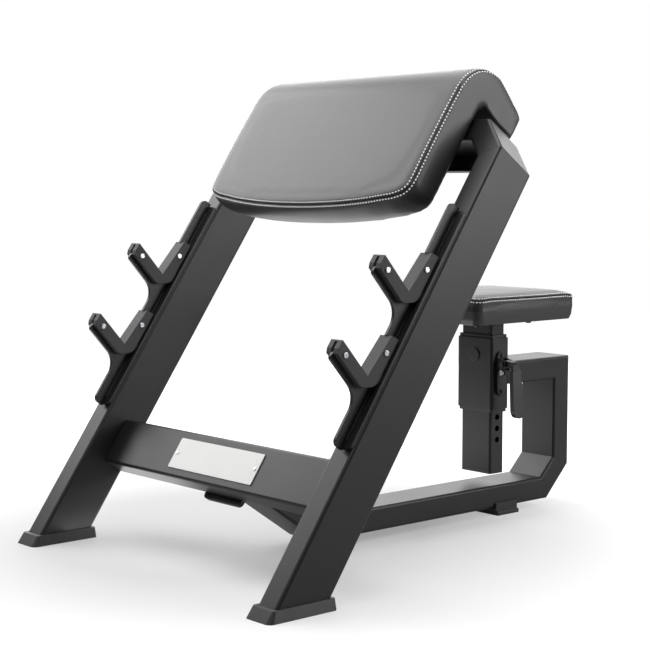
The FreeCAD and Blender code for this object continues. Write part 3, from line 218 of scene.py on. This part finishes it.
# %% Leatherette
PEBBLE, PEBBLE_DEPTH = 1.8 * MM, 0.18 * MM
CREASE, CREASE_DEPTH = 14.0 * MM, 0.5 * MM
leather, shader, coordinates = new_material("embossed charcoal PU leatherette", {"IOR": 1.48})
mottled(leather, shader, coordinates,
        cell_mm=35.0, dark="#3b3b3c", light="#3e3e3f", smooth=0.35, rough=0.4)
pebbles = add_node(leather, "ShaderNodeTexVoronoi",
                   {"Scale": 1.0 / PEBBLE, "feature": "SMOOTH_F1", "Smoothness": 0.35},
                   {"Vector": (coordinates, "Object")})
creases = add_node(leather, "ShaderNodeTexNoise", {"Scale": 1.0 / CREASE, "Detail": 4.0},
                   {"Vector": (coordinates, "Object")})
drape = add_node(leather, "ShaderNodeBump", {"Strength": 0.5, "Distance": CREASE_DEPTH},
                 {"Height": (creases, "Fac")})
grain = add_node(leather, "ShaderNodeBump", {"Strength": 0.35, "Distance": PEBBLE_DEPTH},
                 {"Height": (pebbles, "Distance"), "Normal": (drape, "Normal")})
connect(leather, grain, "Normal", shader, "Normal")
print("made", leather.name)

# %% [markdown]
# Each CAD node names a finish in its record. The table below hands every node the material that stands for
# that finish. The lock pin is the one exception: it lies in the shade of its mount, and that shade is
# painted into it by giving it the darker steel.

# %% Finishes for the CAD nodes
FINISHES = {
    "powder_coat": powder, "rubber": rubber, "upholstery": leather, "plywood": plywood,
    "black_plastic": nylon, "liner_plastic": liner, "zinc_steel": zinc, "black_steel": oxide,
    "badge_coat": enamel,
}
slot_of = {part["node"]: part["material_slot"] for part in frame["record"]["subparts"]}
for name, item in nodes.items():
    item.data.materials.clear()
    item.data.materials.append(FINISHES[slot_of[name]])
# Painted shade: the darker steel stands for the shade that the mount casts on the lock pin
nodes["lock_pin"].data.materials[0] = oxide
print("finished", len(nodes), "CAD nodes")

# %% [markdown]
# ## Cushions
#
# A bench cushion is a block of foam glued to a board, under a cover that is sewn tight and a little too
# small. The cover squeezes the foam, so each panel bulges between its seams while the seams stay put. A
# copy of the CAD solids is remeshed into even faces, shrunk a little, and then blown up by a cloth
# simulation under pressure whose seams and underside are pinned.

# %% Cushion helpers
SAME_POINT = 0.01 * MM


def only(item):
    bpy.ops.object.select_all(action="DESELECT")
    item.select_set(True)
    bpy.context.view_layer.objects.active = item


def solid_copy(name, sources, voxel_mm):
    # The CAD solids joined into one closed mesh of even faces
    bpy.ops.object.select_all(action="DESELECT")
    for source in sources:
        copy = bpy.data.objects.new(name, nodes[source].data.copy())
        bpy.context.scene.collection.objects.link(copy)
        copy.select_set(True)
        bpy.context.view_layer.objects.active = copy
    bpy.ops.object.join()
    item = bpy.context.object
    item.name = name
    bpy.ops.object.mode_set(mode="EDIT")
    bpy.ops.mesh.select_all(action="SELECT")
    bpy.ops.mesh.remove_doubles(threshold=SAME_POINT)
    bpy.ops.object.mode_set(mode="OBJECT")
    item.data.remesh_voxel_size = voxel_mm * MM
    bpy.ops.object.voxel_remesh()
    return item


def surface(item):
    return BVHTree.FromObject(item, bpy.context.evaluated_depsgraph_get())

# %% [markdown]
# A seam is described by stations. Each has a point inside the cushion near the seam, the way out through
# the main panel, the way out through the border, and how the seam sits on the rounded edge between them:
# the edge's radius, the seam's turn from the panel towards the border, and the distances from the seam to
# the stitch row on each side. Rays from outside find the seam and its two rows on the surface.

# %% Seam stations
FAR = 60.0 * MM


def seam_rows(tree, stations):
    lines = [], [], []
    for inside, panel, border, (radius, turn, panel_gap, border_gap) in stations:
        on_panel = tree.ray_cast(inside, panel)[0]
        on_border = tree.ray_cast(inside, border)[0]
        if on_panel is None or on_border is None:
            continue
        panel_far = (on_panel - inside).length - radius * MM
        border_far = (on_border - inside).length - radius * MM
        centre = inside + panel * panel_far + border * border_far
        angle = math.radians(turn)
        out = panel * math.cos(angle) + border * math.sin(angle)
        aside = border * math.cos(angle) - panel * math.sin(angle)
        for line, gap in zip(lines, (0.0, -panel_gap, border_gap)):
            spot = tree.ray_cast(centre + aside * gap * MM + out * FAR, -out)[0]
            if spot is not None:
                line.append(spot)
    return lines


def even_path(spots, step):
    # The same path with a point every step metres, so that stitches and pins are spread evenly
    path = [spots[0]]
    left = step
    for first, second in zip(spots, spots[1:]):
        span = (second - first).length
        done = 0.0
        while span - done >= left:
            done += left
            path.append(first.lerp(second, done / span))
            left = step
        left -= span - done
    return path


def nearness(spots):
    tree = KDTree(len(spots))
    for number, spot in enumerate(spots):
        tree.insert(spot, number)
    tree.balance()
    return tree

# %% [markdown]
# The arm pad's seam runs up the rear edge of one end, over the apex, down the front, along the bowed lower
# edge and back over the other end. The ends have a tight edge and the lower edge a full one, so the way the
# seam sits on the edge changes round the lower corners. All lengths here are in millimetres.

# %% Arm pad stations
PAD_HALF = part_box("arm_pad")[1].x / MM
INSET = 24.0
LOWER_END = 825
APEX_CENTRE, APEX_REACH = (1068.0, -18.0), 12.0
REAR_DEGREES = 172
FRONT_TOP, FRONT_DEPTH = 1050, 44.0
CORNER_ROOM, CORNER_REACH, CORNER_GAP = 36, 0.8, 14.0
LOWER_STEPS = 40
END_EDGE = (5.0, 25.0, 5.5, 4.0)
LOWER_EDGE = (16.0, 32.0, 4.6, 4.4)


def end_profile(side):
    run = []
    x = side * (PAD_HALF - INSET)
    for degrees in range(REAR_DEGREES, -1, -6):
        angle = math.radians(degrees)
        way = UP_LEG * math.sin(angle) + FORWARD * math.cos(angle)
        run.append((on_frame(x, *APEX_CENTRE) + way * APEX_REACH * MM, way, ACROSS * side, END_EDGE))
    for up in range(FRONT_TOP, LOWER_END + CORNER_ROOM, -10):
        run.append((on_frame(x, up, FRONT_DEPTH), FORWARD, ACROSS * side, END_EDGE))
    return run


def lower_corner(side):
    run = []
    centre = on_frame(side * (PAD_HALF - 2.0 * INSET), LOWER_END + INSET, FRONT_DEPTH)
    for degrees in range(0, 91, 10):
        angle = math.radians(degrees)
        border = ACROSS * side * math.cos(angle) - UP_LEG * math.sin(angle)
        edge = [end + (low - end) * degrees / 90.0 for end, low in zip(END_EDGE, LOWER_EDGE)]
        run.append((centre + border * INSET * MM * CORNER_REACH, FORWARD, border, edge))
    return run


def lower_edge():
    start = PAD_HALF - 2.0 * INSET - CORNER_GAP
    for number in range(LOWER_STEPS + 1):
        x = -start + 2.0 * start * number / LOWER_STEPS
        yield on_frame(x, LOWER_END + INSET, FRONT_DEPTH), FORWARD, -UP_LEG, LOWER_EDGE


pad_stations = [
    *end_profile(-1.0), *lower_corner(-1.0), *lower_edge(), *reversed(lower_corner(1.0)),
    *reversed(end_profile(1.0)),
]
print("arm pad stations:", len(pad_stations))

# %% [markdown]
# The pressure simulation itself. Pinned points are the seam and the underside, which on the real pad are
# held by the thread and by the board. After it, no point may have moved further than the foam could
# really swell.

# %% Blow up a cushion
SHRINK, MOST_SWELL = 2.0 * MM, 3.0 * MM
PRESSURE = 4.0
SIM_FRAMES = 20


def inflate(item, is_held):
    mesh = item.data
    held = item.vertex_groups.new(name="held")
    free = []
    for vertex in mesh.vertices:
        if is_held(vertex.co, vertex.normal):
            held.add([vertex.index], 1.0, "REPLACE")
        else:
            free.append(vertex.index)
    normals = [vertex.normal.copy() for vertex in mesh.vertices]
    for index in free:
        mesh.vertices[index].co -= normals[index] * SHRINK
    before = [vertex.co.copy() for vertex in mesh.vertices]
    only(item)
    cloth = item.modifiers.new("Cover", "CLOTH")
    cloth.settings.use_pressure = True
    cloth.settings.uniform_pressure_force = PRESSURE
    cloth.settings.vertex_group_mass = held.name
    cloth.settings.effector_weights.gravity = 0.0
    cloth.point_cache.frame_start = 1
    cloth.point_cache.frame_end = SIM_FRAMES
    for number in range(1, SIM_FRAMES + 1):
        bpy.context.scene.frame_set(number)
    bpy.ops.object.modifier_apply(modifier=cloth.name)
    bpy.context.scene.frame_set(1)
    moves = []
    for vertex, start in zip(item.data.vertices, before):
        moved = vertex.co - start
        moves.append(moved.length)
        if moved.length > MOST_SWELL:
            vertex.co = start + moved.normalized() * MOST_SWELL
    middle = sorted(moves)[len(moves) // 2]
    print(f"{item.name}: {len(free)} of {len(before)} points are free, and they moved",
          f"{middle / MM:.1f} to {max(moves) / MM:.1f} mm")

# %% [markdown]
# The blown-up cover is then settled on its foam. One level of subdivision smooths the faces. A remesh and a
# subdivision both wear edges down, so a Shrinkwrap lifts whatever lies under the foam's own surface back
# onto it. Last, a Smooth modifier irons the open panel, with a weight that fades out towards the seam.

# %% Settle a cover on its foam
EASE_ZONE = (5.0, 20.0)
EASE_FACTOR, EASE_TIMES = 0.5, 60


def fade(value, start, end):
    # A soft step from 0 at start to 1 at end, which may also be the smaller of the two
    part = min(max((value - start) / (end - start), 0.0), 1.0)
    return part * part * (3.0 - 2.0 * part)


def settle(item, foam, seam, is_open):
    only(item)
    fine = item.modifiers.new("Fine", "SUBSURF")
    fine.levels = 1
    fine.render_levels = 1
    fit = item.modifiers.new("Fit", "SHRINKWRAP")
    fit.target = foam
    fit.wrap_mode = "OUTSIDE"
    bpy.ops.object.modifier_apply(modifier=fine.name)
    bpy.ops.object.modifier_apply(modifier=fit.name)
    smoothed = item.vertex_groups.new(name="smoothed")
    for vertex in item.data.vertices:
        if is_open(vertex.co):
            weight = fade(seam.find(vertex.co)[2] / MM, *EASE_ZONE)
            smoothed.add([vertex.index], weight, "REPLACE")
    ease = item.modifiers.new("Ease", "SMOOTH")
    ease.factor = EASE_FACTOR
    ease.iterations = EASE_TIMES
    ease.vertex_group = smoothed.name
    bpy.ops.object.modifier_apply(modifier=ease.name)
    bpy.ops.object.shade_smooth()
    bpy.data.objects.remove(foam)

# %% [markdown]
# The sewn arm pad is a little fuller and straighter than its CAD block. Its lower edge bows more, its front
# is nearly flat, and the cover is drawn up tight over the apex and the rear corner. Each of these is a
# shift along the leaning frame, in millimetres, that is full in its zone and fades out away from it. A zone
# is a pair: where the shift starts and where it is full.

# %% Draw the arm pad tight
BOW_DEEP, BOW_CLIMB, BOW_UP = 3.2, 16.0, (900.0, 800.0)
APEX_LIFT, APEX_UP = 3.4, (1060.0, 1115.0)
WING_LIFT, WING_FORWARD, WING_UP = 5.0, (-40.0, -95.0), (1085.0, 1050.0)
SLOPE_CUT, SLOPE_HUMP, SLOPE_UP = 2.4, (-55.0, 47.0), (1080.0, 1100.0)
CROWN_CUT, CROWN_HUMP, CROWN_FORWARD = 3.5, (922.0, 130.0), (20.0, 55.0)
REAR_FILL, REAR_CUT, REAR_HUMP, REAR_FORWARD = 6.0, 4.0, (1070.0, 28.0), (-70.0, -102.0)
END_ROUND, END_ALONG = 9.0, (0.93, 1.0)
CORNER_PUSH, CORNER_SPOT, CORNER_AWAY = 3.5, (1096.0, -96.0), (42.0, 6.0)
PUSH_UP, PUSH_BACK = 0.6, 0.8


def hump(value, middle, half):
    return max(1.0 - ((value - middle) / half) ** 2, 0.0)


def draw_tight(item):
    for vertex in item.data.vertices:
        local = vertex.co - LEG_FOOT
        along = local.x / MM / PAD_HALF
        up = local.dot(UP_LEG) / MM
        forward = local.dot(FORWARD) / MM
        lift = (BOW_CLIMB * along ** 2 - BOW_DEEP) * fade(up, *BOW_UP)
        lift += APEX_LIFT * fade(up, *APEX_UP)
        lift += WING_LIFT * fade(forward, *WING_FORWARD) * fade(up, *WING_UP)
        lift -= SLOPE_CUT * hump(forward, *SLOPE_HUMP) * fade(up, *SLOPE_UP)
        inward = REAR_CUT * hump(up, *REAR_HUMP) + END_ROUND * fade(abs(along), *END_ALONG)
        back = CROWN_CUT * hump(up, *CROWN_HUMP) * fade(forward, *CROWN_FORWARD)
        back += (REAR_FILL - inward) * fade(forward, *REAR_FORWARD)
        push = CORNER_PUSH * fade(math.dist((up, forward), CORNER_SPOT), *CORNER_AWAY)
        vertex.co += UP_LEG * (lift + push * PUSH_UP) * MM - FORWARD * (back + push * PUSH_BACK) * MM
    print("drew", len(item.data.vertices), "points of", item.name, "tight")

# %% [markdown]
# With these helpers the arm pad is made in four steps: a coarse copy for the cover, its seam, the swelling,
# and a fine copy of the foam to settle it on.

# %% Arm pad cushion
PAD_NODES = ["arm_pad", "front_board", "rear_board"]
PAD_VOXEL, FOAM_VOXEL = 5.5, 2.5
PIN_STEP = 4.0 * MM
PAD_PIN_REACH = 6.0 * MM
FACING_BACK, FACING_DOWN = -0.8, -0.7
BOARD_FRONT = 12.0
WING_HEIGHTS = (1030.0, 1075.0)
PAD_OPEN_FROM = -10.0 * MM

arm_pad = solid_copy("arm_pad_cover", PAD_NODES, PAD_VOXEL)
draw_tight(arm_pad)
pad_near = nearness(even_path(seam_rows(surface(arm_pad), pad_stations)[0], PIN_STEP))


def pad_held(spot, normal):
    if pad_near.find(spot)[2] < PAD_PIN_REACH:
        return True
    local = spot - LEG_FOOT
    in_wing = WING_HEIGHTS[0] < local.dot(UP_LEG) / MM < WING_HEIGHTS[1]
    on_board = local.dot(FORWARD) / MM < BOARD_FRONT
    under_front = normal.dot(FORWARD) < FACING_BACK
    under_wing = normal.dot(UP_LEG) < FACING_DOWN and in_wing
    return on_board and (under_front or under_wing)


def pad_open(spot):
    return (spot - LEG_FOOT).dot(FORWARD) > PAD_OPEN_FROM


inflate(arm_pad, pad_held)
pad_foam = solid_copy("arm_pad_foam", PAD_NODES, FOAM_VOXEL)
draw_tight(pad_foam)
settle(arm_pad, pad_foam, pad_near, pad_open)

# %% [markdown]
# The seat is the same kind of cushion with a simpler seam: a rounded rectangle round its top panel, set
# low on the edge so that the top panel wraps over it.

# %% Seat cushion
seat_low, seat_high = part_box("seat_pad")
SEAT_CORNER = 18.0 * MM
SEAT_INSET = 17.0 * MM
SEAM_DROP = 32.0 * MM
SEAT_EDGE = (12.0, 64.0, 5.0, 3.2)
SEAT_STEPS = 16
UP = Vector((0.0, 0.0, 1.0))


def seat_stations():
    middle = (seat_low + seat_high) / 2
    half = (seat_high - seat_low) / 2
    corners = [
        Vector((middle.x + sx * (half.x - SEAT_CORNER), middle.y + sy * (half.y - SEAT_CORNER),
                seat_high.z - SEAM_DROP))
        for sx, sy in ((1, -1), (1, 1), (-1, 1), (-1, -1))
    ]
    for number, corner in enumerate(corners):
        for degrees in range(-90, 1, 15):
            angle = math.radians(degrees + 90 * number)
            way = Vector((math.cos(angle), math.sin(angle), 0.0))
            yield corner + way * (SEAT_CORNER - SEAT_INSET), UP, way, SEAT_EDGE
        following = corners[(number + 1) % 4]
        for step in range(1, SEAT_STEPS):
            spot = corner.lerp(following, step / SEAT_STEPS)
            yield spot + way * (SEAT_CORNER - SEAT_INSET), UP, way, SEAT_EDGE


SEAT_NODES = ["seat_pad", "seat_board"]
SEAT_VOXEL = 4.0
SEAT_PIN_REACH, SEAT_UNDERSIDE = 5.0 * MM, 4.0 * MM
SEAT_OPEN_DROP = 12.0 * MM

seat = solid_copy("seat_cover", SEAT_NODES, SEAT_VOXEL)
seat_line = seam_rows(surface(seat), seat_stations())[0]
seat_near = nearness(even_path(seat_line + seat_line[:1], PIN_STEP))


def seat_held(spot, normal):
    return seat_near.find(spot)[2] < SEAT_PIN_REACH or spot.z < seat_low.z + SEAT_UNDERSIDE


def seat_open(spot):
    return spot.z > seat_high.z - SEAT_OPEN_DROP


inflate(seat, seat_held)
settle(seat, solid_copy("seat_foam", SEAT_NODES, FOAM_VOXEL), seat_near, seat_open)

# %% [markdown]
# Each seam pulls the cover in at the thread. On the arm pad a wide shallow valley goes with that groove, so
# that every panel looks puffed up to its seam. The seat is a boxed cushion: its seam allowance stands up in
# the edge and fills it, so there the wide part is a ridge, a valley of negative depth.

# %% Grooves along the seams
# Each valley is given by its half width and its depth
PAD_VALLEYS = ((5.0 * MM, 1.8 * MM), (20.0 * MM, 2.8 * MM))
SEAT_VALLEYS = ((4.0 * MM, 1.8 * MM), (16.0 * MM, -2.5 * MM))
GROOVE_STEP = 1.5 * MM


def press_seam(item, seam, valleys):
    near = nearness(even_path(seam, GROOVE_STEP))
    normals = [vertex.normal.copy() for vertex in item.data.vertices]
    pressed = 0
    for vertex, normal in zip(item.data.vertices, normals):
        away = near.find(vertex.co)[2]
        depth = sum(deep * (1.0 - away / half) ** 2 for half, deep in valleys if away < half)
        vertex.co -= normal * depth
        pressed += depth != 0.0
    print(item.name, "pressed at", pressed, "points")


press_seam(arm_pad, seam_rows(surface(arm_pad), pad_stations)[0], PAD_VALLEYS)
seat_line = seam_rows(surface(seat), seat_stations())[0]
press_seam(seat, seat_line + seat_line[:1], SEAT_VALLEYS)

# %% [markdown]
# The finished covers get their leatherette and ride on the bodies of the pads they replace.

# %% Covers in place
for cover, body, hidden in ((arm_pad, "frame", PAD_NODES), (seat, "seat", SEAT_NODES)):
    cover.data.materials.clear()
    cover.data.materials.append(leather)
    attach(cover, body)
    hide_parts(*hidden)
    print(cover.name, "rides on", body)

# %% [markdown]
# ## Stitching
#
# A twin-needle machine sews the top stitch: two rows of white bonded polyester thread, one on each side of
# the seam. The thread also gets a slight glow of its own, painted light that makes it brighter than the
# lamps alone would.

# %% Thread
THREAD_PAINTED_GLOW = 0.2
thread, shader, coordinates = new_material("white bonded polyester thread", {"IOR": 1.5})
mottled(thread, shader, coordinates,
        cell_mm=3.0, dark="#f4f4f2", light="#ffffff", smooth=0.45, rough=0.6)
# Painted light: the thread glows faintly, though it is no lamp
shader.inputs["Emission Color"].default_value = linear("#ffffff")
shader.inputs["Emission Strength"].default_value = THREAD_PAINTED_GLOW
print("made", thread.name)

# %% [markdown]
# One stitch is a small ball stretched along the row. An Array repeats it and a Curve modifier lays the row
# along its path.

# %% Rows of beads
BALL_SEGMENTS, BALL_RINGS = 8, 6
ROW_STEP = 2.0 * MM


def path_curve(name, spots):
    curve = bpy.data.curves.new(name, "CURVE")
    curve.dimensions = "3D"
    spline = curve.splines.new("POLY")
    spline.points.add(len(spots) - 1)
    for point, spot in zip(spline.points, spots):
        point.co = (*spot, 1.0)
    item = bpy.data.objects.new(name, curve)
    bpy.context.scene.collection.objects.link(item)
    return item


def bead_row(name, spots, pitch_mm, long_mm, radius_mm):
    # Beads along a path: a ball stretched along X, repeated, and laid on the path
    path = path_curve(f"{name}_path", even_path(spots, ROW_STEP))
    bpy.ops.object.select_all(action="DESELECT")
    bpy.ops.mesh.primitive_uv_sphere_add(segments=BALL_SEGMENTS, ring_count=BALL_RINGS,
                                         radius=radius_mm * MM)
    row = bpy.context.object
    row.name = name
    bpy.ops.object.mode_set(mode="EDIT")
    bpy.ops.mesh.select_all(action="SELECT")
    bpy.ops.transform.resize(value=(long_mm / 2.0 / radius_mm, 1.0, 1.0))
    bpy.ops.transform.translate(value=(pitch_mm / 2.0 * MM, 0.0, 0.0))
    bpy.ops.object.mode_set(mode="OBJECT")
    repeat = row.modifiers.new("Repeat", "ARRAY")
    repeat.fit_type = "FIT_CURVE"
    repeat.curve = path
    repeat.use_relative_offset = False
    repeat.use_constant_offset = True
    repeat.constant_offset_displace = (pitch_mm * MM, 0.0, 0.0)
    follow = row.modifiers.new("Follow", "CURVE")
    follow.object = path
    follow.deform_axis = "POS_X"
    bpy.ops.object.modifier_apply(modifier=repeat.name)
    bpy.ops.object.modifier_apply(modifier=follow.name)
    bpy.ops.object.shade_smooth()
    bpy.data.objects.remove(path)
    print(name, "has", len(row.data.polygons) // (BALL_SEGMENTS * BALL_RINGS), "beads")
    return row


def dress(piece, material, body):
    piece.data.materials.clear()
    piece.data.materials.append(material)
    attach(piece, body)

# %% [markdown]
# Two rows go along each seam. They are found on the finished covers, so they lie on the banks of the groove.

# %% Stitch rows
# Pitch, length and radius of one stitch, in millimetres
STITCH = (7.0, 4.5, 1.3)
pad_line, pad_panel_row, pad_border_row = seam_rows(surface(arm_pad), pad_stations)
seat_line, *seat_rows = [line + line[:1] for line in seam_rows(surface(seat), seat_stations())]
for name, spots, body in (
    ("arm_pad_panel_stitches", pad_panel_row, "frame"),
    ("arm_pad_border_stitches", pad_border_row, "frame"),
    ("seat_panel_stitches", seat_rows[0], "seat"),
    ("seat_border_stitches", seat_rows[1], "seat"),
):
    dress(bead_row(name, spots, *STITCH), thread, body)

# %% [markdown]
# The seam itself is where two folded edges of cover meet. Little light reaches the fold, and that shade is
# painted on: a thin near-black cord along the bottom of the groove stands for it.

# %% Painted seam shadows
# Painted shade: a near-black colour for the shaded seam groove, carried by a thin cord
seam_shadow, shader, coordinates = new_material("painted seam shadow on charcoal leatherette", {"IOR": 1.45})
mottled(seam_shadow, shader, coordinates,
        cell_mm=12.0, dark="#0a0a0b", light="#101011", smooth=0.75, rough=0.9)
SHADOW_CORD_RADIUS, SHADOW_CORD_STEP = 1.2 * MM, 3.0 * MM


def lay_seam_shadow(name, spots, body):
    cord = path_curve(name, even_path(spots, SHADOW_CORD_STEP))
    cord.data.bevel_depth = SHADOW_CORD_RADIUS
    cord.data.bevel_resolution = 2
    only(cord)
    bpy.ops.object.convert(target="MESH")
    bpy.ops.object.shade_smooth()
    cord = bpy.context.object
    dress(cord, seam_shadow, body)
    print(name, "has", len(cord.data.polygons), "faces")


lay_seam_shadow("arm_pad_seam", pad_line, "frame")
lay_seam_shadow("seat_seam", seat_line, "seat")

# %% [markdown]
# Each rack plate is welded to its flat bar on both sides. A weld is laid as one small pool of steel after
# another, so its bead looks like a fallen stack of coins under the paint. It is made as the stitches are,
# with beads that overlap.

# %% Welds on the racks
# Pitch, length and radius of one bead, in millimetres
WELD = (2.4, 3.6, 2.0)
RACK_MIDDLE = (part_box("right_rack_plate")[0].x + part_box("right_rack_plate")[1].x) / 2 / MM
PLATE_HALF = 3.0
BAR_FACE = 5.5
WELD_PROUD = 0.4
WELD_ENDS = (340.0, 796.0)
for name, side in (("left", -1.0), ("right", 1.0)):
    for face, way in (("inner", -side), ("outer", side)):
        x = side * RACK_MIDDLE + way * (PLATE_HALF + WELD_PROUD)
        spots = [on_frame(x, up, BAR_FACE + WELD_PROUD) for up in WELD_ENDS]
        dress(bead_row(f"{name}_rack_{face}_weld", spots, *WELD), powder, "frame")

# %% [markdown]
# ## Studio
#
# The bench stands on a photographer's sweep of white paper. Where the camera looks at the paper, it glows,
# the more the farther it is from the bench. So the floor melts into the background and only a soft shadow
# stays under the bench. Glossy faces see a faint even glow in it.

# %% Floor
FLOOR_SIZE = 30.0
GLOW_CENTRE = (-0.2, -0.2, 0.0)
GLOW_RANGE = {"From Min": 0.4, "From Max": 1.3, "To Min": 0.3, "To Max": 1.0}
GLOSSY_GLOW = 0.12
scene = bpy.context.scene
scene.view_settings.view_transform = "Standard"
bpy.ops.object.select_all(action="DESELECT")
bpy.ops.mesh.primitive_plane_add(size=FLOOR_SIZE)
floor = bpy.context.object
floor.name = "floor"
sweep, shader, coordinates = new_material("matt white paper sweep", {"IOR": 1.45})
mottled(sweep, shader, coordinates,
        cell_mm=900.0, dark="#969696", light="#9b9b9b", smooth=0.75, rough=0.85)
shader.inputs["Emission Color"].default_value = linear("#ffffff")
spread = add_node(sweep, "ShaderNodeVectorMath", {"operation": "DISTANCE"})
spread.inputs[1].default_value = GLOW_CENTRE
sweep.node_tree.links.new(coordinates.outputs["Object"], spread.inputs[0])
glow = add_node(sweep, "ShaderNodeMapRange", GLOW_RANGE, {"Value": (spread, "Value")})
looked_at = add_node(sweep, "ShaderNodeLightPath")
direct = add_node(sweep, "ShaderNodeMath", {"operation": "MULTIPLY"})
sweep.node_tree.links.new(glow.outputs["Result"], direct.inputs[0])
sweep.node_tree.links.new(looked_at.outputs["Is Camera Ray"], direct.inputs[1])
backlight = add_node(sweep, "ShaderNodeMath", {"operation": "MULTIPLY_ADD"})
backlight.inputs[1].default_value = GLOSSY_GLOW
sweep.node_tree.links.new(looked_at.outputs["Is Glossy Ray"], backlight.inputs[0])
sweep.node_tree.links.new(direct.outputs["Value"], backlight.inputs[2])
connect(sweep, backlight, "Value", shader, "Emission Strength")
floor.data.materials.append(sweep)
print("made", sweep.name)

# %% [markdown]
# The camera stands to the right in front of the bench, at about the height of the pad's lower edge, and
# looks slightly down through a long lens.

# %% Camera
CAMERA_PLACE = LEG_FOOT + Vector((2.3671, -1.5970, 0.7144))
CAMERA_TILT = math.radians(90.0 - 4.984)
CAMERA_TURN = math.radians(48.914)
LENS, SENSOR = 87.196, 36.0
camera_data = bpy.data.cameras.new("camera")
camera_data.lens = LENS
camera_data.sensor_width = SENSOR
camera = bpy.data.objects.new("camera", camera_data)
camera.location = CAMERA_PLACE
camera.rotation_euler = (CAMERA_TILT, 0.0, CAMERA_TURN)
scene.collection.objects.link(camera)
scene.camera = camera
print("the camera is", round((CAMERA_PLACE - LEG_FOOT).length, 2), "m from the foot of the legs")

# %% [markdown]
# All the light comes from soft panels. The strongest hang overhead and stand at the upper left, at the right
# rear and behind the bench, where they draw bright rims along cushions and tubes. The front gets only a
# faint fill, so the faces towards the camera stay dark. A weak panel on the floor stands for the light that
# the paper throws back up. The background is white for the camera alone and lights nothing.

# %% Lights
world = bpy.data.worlds.new("studio")
world.use_nodes = True
scene.world = world
backdrop = world.node_tree.nodes["Background"]
backdrop.inputs["Color"].default_value = linear("#ffffff")
seen = world.node_tree.nodes.new("ShaderNodeLightPath")
world.node_tree.links.new(seen.outputs["Is Camera Ray"], backdrop.inputs["Strength"])


def softbox(name, place, target, wide, tall, watts):
    data = bpy.data.lights.new(name, "AREA")
    data.shape = "RECTANGLE"
    data.size = wide
    data.size_y = tall
    data.energy = watts
    light = bpy.data.objects.new(name, data)
    light.location = place
    light.rotation_euler = (Vector(target) - Vector(place)).to_track_quat("-Z", "Y").to_euler()
    light.visible_camera = False
    scene.collection.objects.link(light)
    print(name, watts, "W")


# Name, place, what it faces, width and height in metres, watts
SOFTBOXES = (
    ("overhead_softbox", (0.0, -0.2, 2.6), (0.0, -0.2, 0.0), 2.5, 2.5, 63.0),
    ("upper_left_softbox", (-2.2, -0.8, 2.0), (0.0, -0.1, 0.8), 2.0, 2.0, 53.0),
    ("right_rear_softbox", (2.6, 2.0, 1.4), (0.0, 0.2, 0.5), 1.6, 2.0, 53.0),
    ("back_wall", (-2.6, 1.75, 1.25), (0.0, 0.0, 1.25), 3.5, 2.4, 54.0),
    ("upper_back_softbox", (-2.3, 1.0, 2.3), (0.0, 0.0, 0.9), 2.4, 1.6, 25.0),
    ("front_fill", (0.9, -2.3, 2.8), (0.0, 0.0, 0.6), 2.0, 2.0, 14.0),
    ("floor_bounce", (-0.75, 0.1, 0.02), (-0.75, 0.1, 1.0), 1.0, 1.2, 6.0),
    ("rear_softbox", (-0.5, 2.9, 1.6), (0.0, 0.2, 0.8), 1.6, 1.6, 20.0),
)
for panel in SOFTBOXES:
    softbox(*panel)
